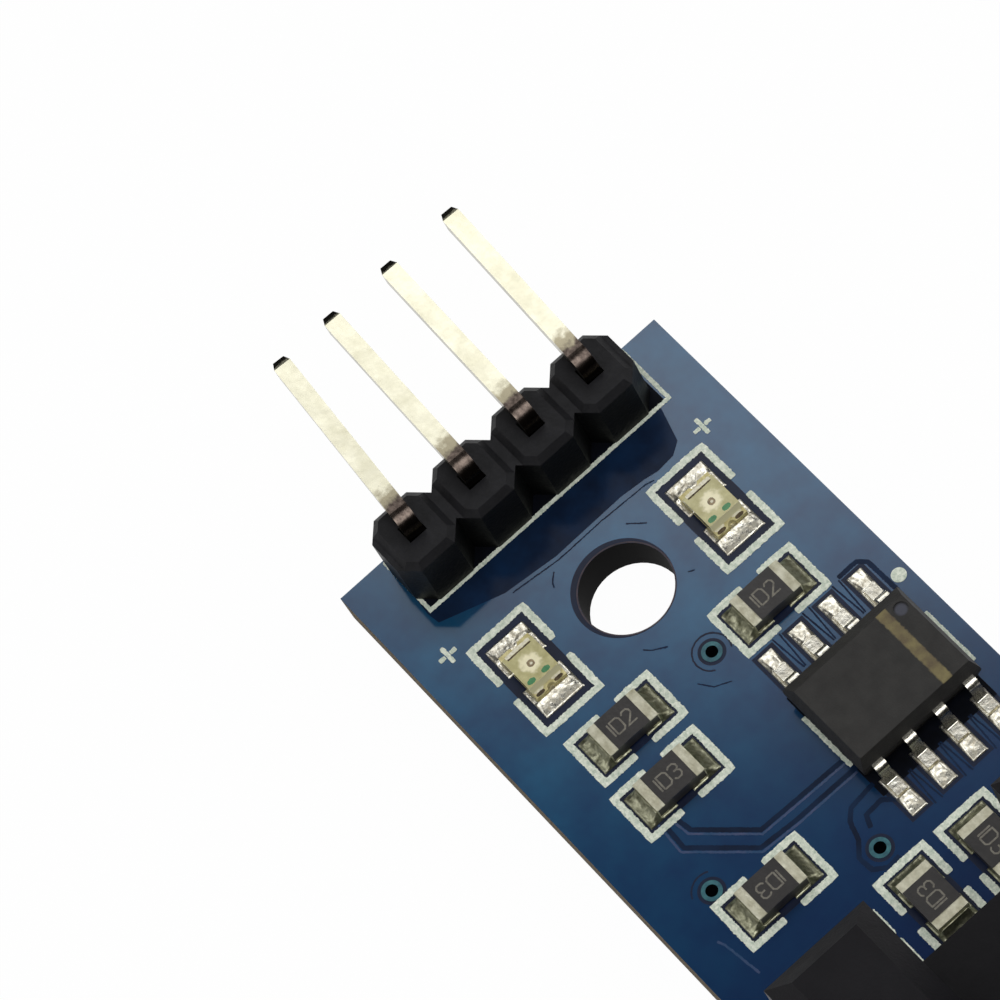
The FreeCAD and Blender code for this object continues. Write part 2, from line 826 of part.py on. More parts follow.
def check_document():
    for item in doc.Objects:
        if "Invalid" in item.State or "Error" in item.State:
            raise RuntimeError(f"{item.Label} failed: {item.State}")
    for body in finished:
        if body.Shape.isNull() or not body.Shape.isValid():
            raise RuntimeError(f"{body.Label} has no valid shape")


def main():
    fill_sheet()
    make_board()
    make_header_housing()
    for number in range(1, PIN_COUNT + 1):
        make_pin(number)
    make_header_joints()
    make_led("power_led", "-")
    make_led("switch_led", "")
    for number, (_, _, turn) in enumerate(RESISTORS, 1):
        make_resistor(number, turn)
    make_package()
    for number in range(1, 2 * LEADS_PER_SIDE + 1):
        make_lead(number)
    make_lead_joints()
    make_barrier_housing()
    make_diode("infrared_emitter", 1)
    make_diode("infrared_detector", -1)
    leg_names = ("emitter_leg_1", "emitter_leg_2", "detector_leg_1", "detector_leg_2")
    for label, place in zip(leg_names, leg_places()):
        make_leg(label, place)
    make_barrier_joints()
    doc.recompute()
    check_document()
    os.makedirs("parts", exist_ok=True)
    for body in finished:
        body.Shape.exportStep(f"parts/{body.Label}.step")


main()
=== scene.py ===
# %% [markdown]
# # An infrared speed sensor module, dressed in Blender
# The module is a small blue circuit board. A four-pin header sits at one end and a black
# slotted light barrier at the other, with a handful of tiny soldered parts between them.
# The solid model comes from CAD and is loaded as a fixed frame. This lesson gives it its
# finishes, adds the print, the copper and the solder, and sets up the studio round it.

# %% Load the solid model
import json
import math
import random

import bmesh
import bpy
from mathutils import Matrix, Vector, noise

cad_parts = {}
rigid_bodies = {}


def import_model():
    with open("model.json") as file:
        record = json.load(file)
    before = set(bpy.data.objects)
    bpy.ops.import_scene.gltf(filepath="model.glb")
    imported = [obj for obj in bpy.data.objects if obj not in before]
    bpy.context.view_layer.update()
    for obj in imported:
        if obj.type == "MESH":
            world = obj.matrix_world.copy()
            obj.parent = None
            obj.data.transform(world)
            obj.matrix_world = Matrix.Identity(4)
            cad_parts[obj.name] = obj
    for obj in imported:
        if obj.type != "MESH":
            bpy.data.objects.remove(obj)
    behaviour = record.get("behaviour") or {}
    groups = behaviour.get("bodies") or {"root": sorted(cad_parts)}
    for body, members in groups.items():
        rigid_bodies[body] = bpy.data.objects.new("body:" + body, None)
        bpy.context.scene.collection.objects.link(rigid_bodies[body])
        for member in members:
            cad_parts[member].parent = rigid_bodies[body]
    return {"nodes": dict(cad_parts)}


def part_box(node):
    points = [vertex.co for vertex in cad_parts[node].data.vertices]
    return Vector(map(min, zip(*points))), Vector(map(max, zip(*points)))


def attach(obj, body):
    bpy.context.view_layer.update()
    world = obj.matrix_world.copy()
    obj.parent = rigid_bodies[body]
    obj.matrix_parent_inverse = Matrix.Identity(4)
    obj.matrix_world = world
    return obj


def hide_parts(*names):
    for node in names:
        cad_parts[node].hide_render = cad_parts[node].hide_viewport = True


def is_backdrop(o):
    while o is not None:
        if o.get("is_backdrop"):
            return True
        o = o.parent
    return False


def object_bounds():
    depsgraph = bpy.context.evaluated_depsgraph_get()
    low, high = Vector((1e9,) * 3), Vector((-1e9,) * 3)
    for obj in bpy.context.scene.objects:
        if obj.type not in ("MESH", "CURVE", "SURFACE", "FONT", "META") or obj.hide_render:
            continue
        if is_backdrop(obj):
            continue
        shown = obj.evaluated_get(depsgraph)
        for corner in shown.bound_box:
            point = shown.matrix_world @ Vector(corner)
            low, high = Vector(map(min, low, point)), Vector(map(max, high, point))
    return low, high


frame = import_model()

cad_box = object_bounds()
nodes = frame["nodes"]
MM = 0.001
BOARD_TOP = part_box("pcb")[1].z / MM
print("nodes:", len(nodes), "board top at", round(BOARD_TOP, 3), "mm")

# %% [markdown]
# ## The camera
# The photograph is a close-up from about 61 degrees above the board, taken from afar with a
# long lens, so parallel edges stay nearly parallel. The picture is turned until the board
# runs from the upper left to the lower right. A long lens far away copies both effects.

# %% Place the camera
CAMERA_PLACE = (80.35, -17.25, 159.16)
CAMERA_TURN = (25.122, 14.994, 50.322)
LENS_LENGTH = 200.48
SENSOR_WIDTH = 36.0
NEAREST_SEEN = 0.001

camera_data = bpy.data.cameras.new("close_up_camera")
camera_data.lens = LENS_LENGTH
camera_data.sensor_width = SENSOR_WIDTH
camera_data.clip_start = NEAREST_SEEN
camera = bpy.data.objects.new("close_up_camera", camera_data)
camera.location = Vector(CAMERA_PLACE) * MM
camera.rotation_euler = [math.radians(angle) for angle in CAMERA_TURN]
bpy.context.collection.objects.link(camera)
bpy.context.scene.camera = camera
bpy.context.scene.view_settings.view_transform = "Standard"
print("camera is", round(camera.location.length, 3), "m from the mounting hole")

# %% [markdown]
# ## Node helpers
# Each finish is a small tree of shader nodes. A few short helpers put nodes into a tree with
# their options and inputs, do sums, stretch a range of values onto another, and start a node
# group with named sockets, so that the cells below read like a recipe.

# %% Helpers for shader nodes
MM_PER_METRE = 1000.0


def feed_in(tree, item, feeds):
    """Fill a node's inputs. A feed is a plain value or another node's output."""
    for key, value in feeds.items():
        if isinstance(value, bpy.types.NodeSocket):
            tree.links.new(value, item.inputs[key])
        else:
            item.inputs[key].default_value = value
    return item


def place(tree, kind, options=None, feeds=None):
    """Add one shader node with its options and its feeds."""
    item = tree.nodes.new("ShaderNode" + kind)
    for key, value in (options or {}).items():
        setattr(item, key, value)
    return feed_in(tree, item, feeds or {})


def work_out(tree, operation, *values):
    """Add one step of arithmetic and give back its result."""
    return place(tree, "Math", {"operation": operation}, dict(enumerate(values))).outputs[0]


def stretch(tree, value, low=0.0, high=1.0, start=0.0, end=1.0, curve="LINEAR"):
    """Map the range from low to high onto the range from start to end."""
    return place(tree, "MapRange", {"interpolation_type": curve},
                 {"Value": value, "From Min": low, "From Max": high, "To Min": start,
                  "To Max": end}).outputs[0]


def noise_in_mm(tree, size, detail, roughness=0.5):
    """Soft noise on the model's own coordinates, with patches of a size in millimetres."""
    spot = place(tree, "TexCoord").outputs["Object"]
    fineness = work_out(tree, "DIVIDE", MM_PER_METRE, size)
    return place(tree, "TexNoise", feeds={"Vector": spot, "Scale": fineness, "Detail": detail,
                                          "Roughness": roughness}).outputs[0]


def start_group(name, inputs, outputs):
    """Start a node group and give back its tree, its input sockets and its output sockets."""
    group = bpy.data.node_groups.new(name, "ShaderNodeTree")
    for label, kind, value in inputs:
        socket = group.interface.new_socket(
            label, in_out="INPUT", socket_type="NodeSocket" + kind
        )
        socket.default_value = value
    for label, kind in outputs:
        group.interface.new_socket(label, in_out="OUTPUT", socket_type="NodeSocket" + kind)
    entry = group.nodes.new("NodeGroupInput")
    leave = group.nodes.new("NodeGroupOutput")
    return group, entry.outputs, leave.inputs


def colour(red, green, blue):
    """A colour as read off a screen, 0 to 255, turned into the linear values of a shader."""
    linear = []
    for part in (red, green, blue):
        part /= 255
        linear.append(part / 12.92 if part <= 0.04045 else ((part + 0.055) / 1.055) ** 2.4)
    return (*linear, 1.0)


print("example, screen grey 188 is linear", round(colour(188, 188, 188)[0], 3))

# %% [markdown]
# ## Floor and light
# The module lies on a plain white table in a dim room. A round window of soft light stands
# beyond the pins. Its mirror image in the glossy blue coating ends halfway along the board,
# so the pin end looks pale and the far end dark, and its soft rim makes the change gradual.
# A lamp has sharp rims, so the window is drawn into the world by the direction of a ray.
# Three lamps fill in from above and from both sides. The floor is a white that the camera
# and all reflections see as white, with a share of ordinary diffuse paint, so that the
# module's soft shadow stays. From below the camera looks through it, to show the soldered
# side.

# %% Make the floor
TABLE_LEVEL = cad_box[0].z / MM
FLOOR_REACH = 3000.0
FLOOR_GLOW = 0.98
FLOOR_PAINT = (0.88, 0.88, 0.88, 1)
WHITE = (1, 1, 1, 1)

floor_finish = bpy.data.materials.new("white_table")
floor_finish.use_nodes = True
tree = floor_finish.node_tree
tree.nodes.clear()
paint = place(tree, "BsdfDiffuse", feeds={"Color": FLOOR_PAINT})
glow = place(tree, "Emission", feeds={"Color": WHITE, "Strength": 1.0})
clear = place(tree, "BsdfTransparent")
path = place(tree, "LightPath").outputs
seen = work_out(tree, "MAXIMUM", path["Is Camera Ray"], path["Is Glossy Ray"])
seen = work_out(tree, "MAXIMUM", seen, path["Is Transmission Ray"])
share = work_out(tree, "MULTIPLY", seen, FLOOR_GLOW)
blend = place(tree, "MixShader", feeds={0: share, 1: paint.outputs[0], 2: glow.outputs[0]})
underside = place(tree, "NewGeometry").outputs["Backfacing"]
below = work_out(tree, "MULTIPLY", underside, path["Is Camera Ray"])
blend = place(tree, "MixShader", feeds={0: below, 1: blend.outputs[0], 2: clear.outputs[0]})
place(tree, "OutputMaterial", feeds={"Surface": blend.outputs[0]})

corners = [(x * FLOOR_REACH, y * FLOOR_REACH, TABLE_LEVEL)
           for x, y in ((-1, -1), (1, -1), (1, 1), (-1, 1))]
floor_mesh = bpy.data.meshes.new("table")
floor_mesh.from_pydata([Vector(corner) * MM for corner in corners], [], [(0, 1, 2, 3)])
floor_mesh.materials.append(floor_finish)
floor = bpy.data.objects.new("table", floor_mesh)
bpy.context.collection.objects.link(floor)
floor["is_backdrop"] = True
print("table at", round(TABLE_LEVEL, 2), "mm")

# %% Hang the lamps
LAMP_DISTANCE = 0.9


def direction(azimuth, elevation):
    """Towards a place in the sky. The azimuth is counted from +X, both are in degrees."""
    around, above = math.radians(azimuth), math.radians(elevation)
    return Vector((math.cos(above) * math.cos(around), math.cos(above) * math.sin(around),
                   math.sin(above)))


def hang_lamp(name, azimuth, elevation, size, power):
    """A square soft lamp that looks at the module, with its size in metres."""
    data = bpy.data.lights.new(name, "AREA")
    data.size = size
    data.energy = power
    lamp = bpy.data.objects.new(name, data)
    aim = direction(azimuth, elevation)
    lamp.location = aim * LAMP_DISTANCE
    lamp.rotation_euler = aim.to_track_quat("Z", "Y").to_euler()
    bpy.context.collection.objects.link(lamp)
    print(name, "radiance about", round(power / (math.pi * size * size), 2))


hang_lamp("fill_from_above", azimuth=-12, elevation=72, size=0.6, power=2.7)
hang_lamp("fill_from_left", azimuth=260, elevation=40, size=0.7, power=2.1)
hang_lamp("fill_from_right", azimuth=80, elevation=35, size=0.7, power=2.1)

# %% Draw the window into the world
WINDOW_AZIMUTH = 154
WINDOW_ELEVATION = 45
WINDOW_REACH = 17.2
WINDOW_RIM = 21.8
WINDOW_STRENGTH = 1.75
ROOM_STRENGTH = 0.04

world = bpy.data.worlds.new("studio")
world.use_nodes = True
tree = world.node_tree
ray = place(tree, "TexCoord").outputs["Generated"]
near = place(tree, "VectorMath", {"operation": "DOT_PRODUCT"},
             {0: ray, 1: direction(WINDOW_AZIMUTH, WINDOW_ELEVATION)})
strength = stretch(tree, near.outputs["Value"], math.cos(math.radians(WINDOW_RIM)),
                   math.cos(math.radians(WINDOW_REACH)), ROOM_STRENGTH, WINDOW_STRENGTH,
                   "SMOOTHSTEP")
feed_in(tree, tree.nodes["Background"], {"Color": WHITE, "Strength": strength})
bpy.context.scene.world = world
print("window", 2 * WINDOW_REACH, "degrees across, with its rim", 2 * WINDOW_RIM)

# %% [markdown]
# ## Three effects that the finishes share
# Real surfaces are never one flat colour. `cloudy tint` drifts between two tones in patches
# of a given size in millimetres, `fine grain` gives the height of a moulded or etched grain,
# and `band mask` marks a strip along one direction with a slightly ragged border. Each is
# built once as a group and placed in many finishes with its own values. All of them read the
# object coordinates, which are metres in the frame of the CAD model, times a thousand.

# %% Build the cloudy tint
group, feed, result = start_group(
    "cloudy tint",
    [("Light Tone", "Color", (1, 1, 1, 1)), ("Dark Tone", "Color", (0, 0, 0, 1)),
     ("Patch Size", "Float", 1.0), ("Softness", "Float", 0.2)],
    [("Colour", "Color"), ("Mask", "Float")],
)
clouds = noise_in_mm(group, feed["Patch Size"], detail=3.0, roughness=0.6)
low = work_out(group, "SUBTRACT", 0.5, feed["Softness"])
high = work_out(group, "ADD", 0.5, feed["Softness"])
mask = stretch(group, clouds, low, high)
tint = place(group, "Mix", {"data_type": "RGBA"},
             {0: mask, 6: feed["Light Tone"], 7: feed["Dark Tone"]})
group.links.new(tint.outputs[2], result["Colour"])
group.links.new(mask, result["Mask"])
print("cloudy tint:", len(group.nodes), "nodes")

# %% Build the fine grain
group, feed, result = start_group(
    "fine grain",
    [("Grain Size", "Float", 0.1), ("Depth", "Float", 0.01)],
    [("Height", "Float")],
)
grain = noise_in_mm(group, feed["Grain Size"], detail=2.0)
group.links.new(work_out(group, "MULTIPLY", grain, feed["Depth"]), result["Height"])
print("fine grain:", len(group.nodes), "nodes")

# %% Build the band mask
group, feed, result = start_group(
    "band mask",
    [("Place", "Float", 0.0), ("From", "Float", 0.0), ("To", "Float", 1.0),
     ("Border", "Float", 0.1), ("Raggedness", "Float", 0.1), ("Ragged Size", "Float", 0.2)],
    [("Mask", "Float")],
)
shiver = noise_in_mm(group, feed["Ragged Size"], detail=3.0)
shiver = work_out(group, "SUBTRACT", shiver, 0.5)
shiver = work_out(group, "MULTIPLY", shiver, feed["Raggedness"])
moved = work_out(group, "ADD", feed["Place"], shiver)
in_end = work_out(group, "ADD", feed["From"], feed["Border"])
out_end = work_out(group, "ADD", feed["To"], feed["Border"])
rise = stretch(group, moved, feed["From"], in_end)
fall = stretch(group, moved, feed["To"], out_end, 1.0, 0.0)
group.links.new(work_out(group, "MULTIPLY", rise, fall), result["Mask"])
print("band mask:", len(group.nodes), "nodes")

# %% [markdown]
# ## One recipe for most finishes
# Plastic, tin, solder and coating differ in their values, not in their build-up: a cloudy
# colour, a roughness that follows the same clouds, and grain as bump. The recipe sets the
# constant numbers on the shader's own sockets, and its sizes are millimetres. A finish can
# be complete as it is, or be started and then get more tones laid over it.

# %% Recipe for a finish
def add_effect(tree, effect, feeds):
    """Put one of the shared effects into a material, with its own values."""
    item = tree.nodes.new("ShaderNodeGroup")
    item.node_tree = bpy.data.node_groups[effect]
    return feed_in(tree, item, feeds).outputs


def add_tint(tree, light, dark, patch, softness=0.2):
    """The cloudy tint between two screen colours."""
    return add_effect(tree, "cloudy tint", {"Light Tone": colour(*light),
                                            "Dark Tone": colour(*dark),
                                            "Patch Size": patch, "Softness": softness})


def start_finish(name, light, dark, patch, roughness, grain, softness=0.2, metallic=0.0,
                 coat=0.0, coat_roughness=0.1, specular=0.5, coat_ior=1.5):
    """Material, tree and shader. Roughness is a range, grain is its size and depth."""
    material = bpy.data.materials.new(name)
    material.use_nodes = True
    tree = material.node_tree
    tint = add_tint(tree, light, dark, patch, softness)
    sheen = stretch(tree, tint["Mask"], start=roughness[0], end=roughness[1])
    fine = add_effect(tree, "fine grain", {"Grain Size": grain[0], "Depth": grain[1]})
    bump = place(tree, "Bump", feeds={"Height": fine["Height"], "Distance": MM})
    shader = feed_in(tree, tree.nodes["Principled BSDF"], {
        "Base Color": tint["Colour"], "Roughness": sheen, "Normal": bump.outputs[0],
        "Metallic": metallic, "Coat Weight": coat, "Coat Roughness": coat_roughness,
        "Coat IOR": coat_ior, "Specular IOR Level": specular,
    })
    return material, tree, shader


def make_finish(*values, **more_values):
    """A finish that is complete as the recipe makes it."""
    return start_finish(*values, **more_values)[0]


def dress(node, material):
    """Give a CAD node its finish."""
    for slot in nodes[node].material_slots:
        slot.material = material


print("shared effects:", [effect.name for effect in bpy.data.node_groups])

# %% Tones laid over a finish
def tint_over(tree, shader, mask, tone):
    """Lay a tone over the base colour by a mask. It is a screen colour or a socket."""
    below = shader.inputs["Base Color"].links[0].from_socket
    tone = colour(*tone) if isinstance(tone, tuple) else tone
    mix = place(tree, "Mix", {"data_type": "RGBA"}, {0: mask, 6: below, 7: tone})
    tree.links.new(mix.outputs[2], shader.inputs["Base Color"])


def add_band(tree, along, start, end, border, ragged, ragged_size):
    """Mask of the strip between two places along one direction, in millimetres."""
    return add_effect(tree, "band mask", {"Place": along, "From": start, "To": end,
                                          "Border": border, "Raggedness": ragged,
                                          "Ragged Size": ragged_size})["Mask"]


def position_in_mm(tree):
    """Three sockets with the place on the model in millimetres."""
    spot = place(tree, "TexCoord").outputs["Object"]
    scaled = place(tree, "VectorMath", {"operation": "SCALE"}, {0: spot, "Scale": MM_PER_METRE})
    return place(tree, "SeparateXYZ", feeds={0: scaled.outputs[0]}).outputs[:3]


def facing(tree):
    """Three sockets with the direction that the surface faces."""
    normal = place(tree, "NewGeometry").outputs["Normal"]
    return place(tree, "SeparateXYZ", feeds={0: normal}).outputs[:3]


def distance_across(tree, x, y, centre):
    """Distance from an upright line through a centre, seen from above."""
    flat = place(tree, "CombineXYZ", feeds={0: x, 1: y, 2: 0.0})
    away = place(tree, "VectorMath", {"operation": "DISTANCE"},
                 {0: flat.outputs[0], 1: (*centre, 0.0)})
    return away.outputs["Value"]

# %% [markdown]
# ## The board
# The board is glass cloth in resin, coated on both faces with blue solder resist. The resist
# is a glossy lacquer, so it gets a clear coat over a mottled blue, which is painted darker
# towards the far end as a painted shade. On the cut sides the brownish laminate shows between
# two thin dark lines where the lacquer ends, and the wall of the drilled hole is painted near
# black, a painted shade for the dark inside of the hole. The surface normal tells the faces
# from the sides.

# %% Finish of the board
BOARD_METAL = 0.45
BOARD_GLOSS = 0.9
FAR_END_SHADE_SHARE = 0.9
CUT_ROUGHNESS = 0.8
DRILLED_REACH = 1.7
STEEP = 0.5

board_coat, tree, shader = start_finish(
    "blue_solder_resist", light=(20, 88, 126), dark=(6, 54, 95), patch=1.9,
    roughness=(0.30, 0.40), grain=(1.1, 0.006), softness=0.3, metallic=BOARD_METAL,
    coat=BOARD_GLOSS, coat_roughness=0.09, specular=0.1, coat_ior=1.7,
)
x, y, z = position_in_mm(tree)
# Painted shade: the blue is painted darker towards the far end, on top of the window's fading
# reflection.
far_end_shade = add_band(tree, x, 3.0, 90.0, border=13.0, ragged=6.0, ragged_size=6.0)
tint_over(tree, shader, work_out(tree, "MULTIPLY", far_end_shade, FAR_END_SHADE_SHARE), (4, 30, 76))
upright = work_out(tree, "ABSOLUTE", facing(tree)[2])
side = work_out(tree, "LESS_THAN", upright, STEEP)
tint_over(tree, shader, side, (14, 26, 56))
core = add_band(tree, z, 0.06, BOARD_TOP - 0.1, border=0.04, ragged=0.06, ragged_size=0.3)
weave = add_tint(tree, (124, 112, 90), (88, 76, 62), patch=0.22)
tint_over(tree, shader, work_out(tree, "MULTIPLY", side, core), weave["Colour"])
# Painted shade: the wall of the drilled hole is painted near black for the dark inside of the
# hole.
drilled = work_out(tree, "LESS_THAN", distance_across(tree, x, y, (0, 0)), DRILLED_REACH)
tint_over(tree, shader, work_out(tree, "MULTIPLY", drilled, side), (9, 8, 8))
gloss = shader.inputs["Roughness"].links[0].from_socket
rough_cut = place(tree, "Mix", {"data_type": "FLOAT"}, {0: side, 2: gloss, 3: CUT_ROUGHNESS})
feed_in(tree, shader, {"Roughness": rough_cut.outputs[0],
                       "Coat Weight": stretch(tree, side, start=BOARD_GLOSS, end=0.0),
                       "Metallic": stretch(tree, side, start=BOARD_METAL, end=0.0)})
dress("pcb", board_coat)
print("board finish:", len(tree.nodes), "nodes")

# %% [markdown]
# ## Print, copper and other thin films
# The white print is ink laid on the lacquer, about 15 micrometres thick, and the copper
# under the lacquer shows as slightly raised, paler runs between darker channels. A film is
# built as a flat mesh from strokes, rings and patches, with low walls down to the board. A
# stroke's sides follow a slow wave with a fine shiver on it, because screen-printed ink has
# uneven borders. Films that overlap stand a few tenths of a micrometre or more apart, so
# that the lower one never flickers through.

# %% Strokes, rings and patches
ROUND_END = ((0.0, 0.6), (0.06, 0.8), (0.15, 0.94), (0.5, 1.0))
CUT_CORNER = 0.14
WAVE_SIZE = 0.3
WAVE_SHARE = 0.4
SHIVER_SIZE = 0.06
WAVE_SALT = 9.7
SHIVER_SALT = 3.1


def sideways(ahead):
    """A quarter turn to the left."""
    return Vector((-ahead.y, ahead.x))


def stroke(line, width, ragged=0.0, seed=1, step=0.04):
    """Points and faces of a painted line with round ends, cut corners and uneven sides."""
    corners = [Vector(corner) for corner in line]
    last = len(corners) - 2
    stations = []
    for i in range(last + 1):
        here, there = corners[i], corners[i + 1]
        ahead = (there - here).normalized()
        side = sideways(ahead)
        length = (there - here).length
        if i:
            before = (here - corners[i - 1]).normalized()
            other = sideways(before)
            mitre = (side + other) / (1 + side.dot(other))
            turn = before.x * ahead.y - before.y * ahead.x
            outer = 1 - CUT_CORNER * min(1.0, abs(turn))
            stations.append((here, mitre, 1.0 if turn > 0 else outer,
                             outer if turn > 0 else 1.0))
        else:
            stations += [(here + ahead * far * width, side, half, half)
                         for far, half in ROUND_END]
        parts = max(1, round((length - width) / step)) if length > 1.3 * width else 0
        for k in range(1, parts):
            along = width / 2 + (length - width) * k / parts
            stations.append((here + ahead * along, side, 1.0, 1.0))
        if i == last:
            stations += [(there - ahead * far * width, side, half, half)
                         for far, half in reversed(ROUND_END)]
    points = []
    for spot, side, left, right in stations:
        for half, sign in ((left, 1), (right, -1)):
            x, y = spot
            slow = Vector((x / WAVE_SIZE, y / WAVE_SIZE, seed + WAVE_SALT * sign))
            fast = Vector((x / SHIVER_SIZE, y / SHIVER_SIZE, seed + SHIVER_SALT * sign))
            wave, fine = noise.noise(slow), noise.noise(fast)
            reach = half * (width / 2 + ragged * (WAVE_SHARE * wave + fine))
            points.append(spot + side * sign * reach)
    faces = [(a, a + 1, a + 3, a + 2) for a in range(0, len(points) - 2, 2)]
    return points, faces


def strokes(lines, width, ragged, seed):
    """A stroke for each line, with its own seed."""
    return [stroke(line, width, ragged, seed + k) for k, line in enumerate(lines)]


def patch(outline):
    """One flat face with this outline."""
    return [Vector(point) for point in outline], [tuple(range(len(outline)))]


def box_patch(x_low, x_high, y_low, y_high):
    """A rectangle along the board."""
    return patch([(x_low, y_low), (x_high, y_low), (x_high, y_high), (x_low, y_high)])


def ring(centre, inner, outer, sides=48):
    """An annulus, or a disc where the inner radius is 0."""
    spokes = [Vector((math.cos(a), math.sin(a)))
              for a in (2 * math.pi * k / sides for k in range(sides))]
    rim = [Vector(centre) + spoke * outer for spoke in spokes]
    if not inner:
        return rim, [tuple(range(sides))]
    hole = [Vector(centre) + spoke * inner for spoke in spokes]
    faces = [(k, (k + 1) % sides, sides + (k + 1) % sides, sides + k) for k in range(sides)]
    return rim + hole, faces


def rings(centres, inner, outer):
    """The same ring round each centre."""
    return [ring(centre, inner, outer) for centre in centres]


print("a stroke of 1 mm has", len(stroke([(0, 0), (1, 0)], 0.25)[1]), "faces")

# %% Films as meshes
SUNK = BOARD_TOP - 0.002
FILM_RISE = {
    "header_shadow_and_bare_laminate": 0.0025,
    "via_borders": 0.003,
    "shade_at_header_foot": 0.003,
    "fine_scratches": 0.0032,
    "comparator_pad_borders": 0.0035,
    "shade_under_comparator": 0.0038,
    "etched_channels": 0.004,
    "mounting_hole_border": 0.004,
    "chip_pad_borders": 0.0045,
    "copper_fingers": 0.005,
    "run_shoulder_highlights": 0.006,
    "mounting_hole_rim": 0.008,
    "chip_outlines": 0.015,
    "outlines_and_marks": 0.015,
    "via_rings": 0.02,
    "via_hole_shade_discs": 0.022,
}


def add_piece(name, mesh, material):
    """Show a mesh as a piece of the module that takes the finish of one material slot."""
    mesh.materials.append(material)
    piece = bpy.data.objects.new(name, mesh)
    bpy.context.collection.objects.link(piece)
    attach(piece, "root")
    return piece


def film(name, shapes, low, high, material):
    """Flat shapes at one height, with walls to another. Heights are in millimetres."""
    sheet = bmesh.new()
    for points, faces in shapes:
        corners = [sheet.verts.new(Vector((p.x, p.y, high)) * MM) for p in points]
        for face in faces:
            sheet.faces.new([corners[i] for i in face])
    for face in sheet.faces:
        face.normal_update()
        if face.normal.z * (high - low) < 0:
            face.normal_flip()
    border = [edge for edge in sheet.edges if edge.is_boundary]
    walls = bmesh.ops.extrude_edge_only(sheet, edges=border)
    for item in walls["geom"]:
        if isinstance(item, bmesh.types.BMVert):
            item.co.z = low * MM
    mesh = bpy.data.meshes.new(name)
    sheet.to_mesh(mesh)
    sheet.free()
    print(name, "has", len(mesh.polygons), "faces")
    return add_piece(name, mesh, material)


def board_film(name, shapes, material):
    """A film on the upper face of the board, at its own height in the list above."""
    film(name, shapes, SUNK, BOARD_TOP + FILM_RISE[name], material)


print("films of the upper face stand", min(FILM_RISE.values()), "to",
      max(FILM_RISE.values()), "mm above it")

# %% [markdown]
# ## The printed outlines
# Every part has its outline in pale ink, so that whoever solders the board knows where it
# goes. The outlines of the small chips are broken in the middle of both long sides. The ink
# is a dull greenish cream with a mottled surface.

# %% Finish of the ink
LINE = 0.25
THIN_LINE = 0.15
ink = make_finish(
    "pale_ink", light=(250, 254, 238), dark=(188, 202, 184), patch=0.12,
    roughness=(0.5, 0.65), grain=(0.08, 0.012),
)
print("ink lines are", LINE, "and", THIN_LINE, "mm wide")

# %% Outlines of the small chips
RESISTOR_OUTLINE = (3.34, 1.9, 0.7)
LIGHT_OUTLINE = (3.95, 2.25, 0.75)
CODES = {"resistor_1": "102", "resistor_2": "103", "resistor_3": "102",
         "resistor_4": "103", "resistor_5": "103", "resistor_6": "103"}
TURNED_ROUND = ("resistor_4", "resistor_5")


def turned(point, centre, turn):
    """A point given along and across a chip, in board millimetres."""
    angle = math.radians(turn)
    u, v = point
    return Vector((centre[0] + u * math.cos(angle) - v * math.sin(angle),
                   centre[1] + u * math.sin(angle) + v * math.cos(angle)))


def broken_outline(centre, turn, size, seed):
    """Two brackets that face each other, with a gap in the middle of both long sides."""
    length, width, gap = size
    brackets = []
    for side in (-1, 1):
        line = [(side * gap / 2, -width / 2), (side * length / 2, -width / 2),
                (side * length / 2, width / 2), (side * gap / 2, width / 2)]
        line = [turned(point, centre, turn) for point in line]
        brackets.append(stroke(line, LINE, ragged=0.035, seed=seed + side))
    return brackets


def middle_of(node):
    """Middle of a node's box in board millimetres, seen from above."""
    low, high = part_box(node)
    return (low.x + high.x) / 2 / MM, (low.y + high.y) / 2 / MM


RESISTORS = {}
for name, code in CODES.items():
    low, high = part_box(name + "_body")
    turn = 90 if high.y - low.y > high.x - low.x else 0
    RESISTORS[name] = (middle_of(name + "_body"), turn + 180 * (name in TURNED_ROUND), code)
INDICATORS = {name: middle_of(name + "_base") for name in ("power_led", "switch_led")}
COMPARATOR = middle_of("comparator_body")
for name, (centre, turn, code) in RESISTORS.items():
    print(name, "at", [round(c, 2) for c in centre], "turned", turn)

shapes = []
for number, (centre, turn, _) in enumerate(RESISTORS.values()):
    shapes += broken_outline(centre, turn, RESISTOR_OUTLINE, 10 * number)
for number, centre in enumerate(INDICATORS.values(), 10):
    shapes += broken_outline(centre, 0, LIGHT_OUTLINE, 10 * number)
board_film("chip_outlines", shapes, ink)

# %% Outlines of the header, the comparator and the marks
FIRST_LEAD_DOT = (6.06, 6.44)
lines = [
    [(-6.6, -5.0), (-4.13, -5.0), (-4.13, 5.35), (-6.6, 5.35)],
    [(7.51, 1.1), (9.85, 1.1)],
    [(7.62, 6.18), (9.98, 6.18)],
    [(13.9, -1.6), (15.0, -1.6)],
    [(15.2, -1.6), (16.4, -1.6)],
    [(-2.85, -5.6), (-2.15, -5.6)],
    [(-2.5, -5.95), (-2.5, -5.7)],
    [(-2.5, -5.5), (-2.5, -5.25)],
    [(-2.9, 5.45), (-2.2, 5.45)],
    [(-2.55, 5.1), (-2.55, 5.35)],
    [(-2.55, 5.55), (-2.55, 5.8)],
]
shapes = strokes(lines, THIN_LINE, ragged=0.03, seed=200)
shapes.append(ring(FIRST_LEAD_DOT, 0, 0.26, sides=24))
board_film("outlines_and_marks", shapes, ink)
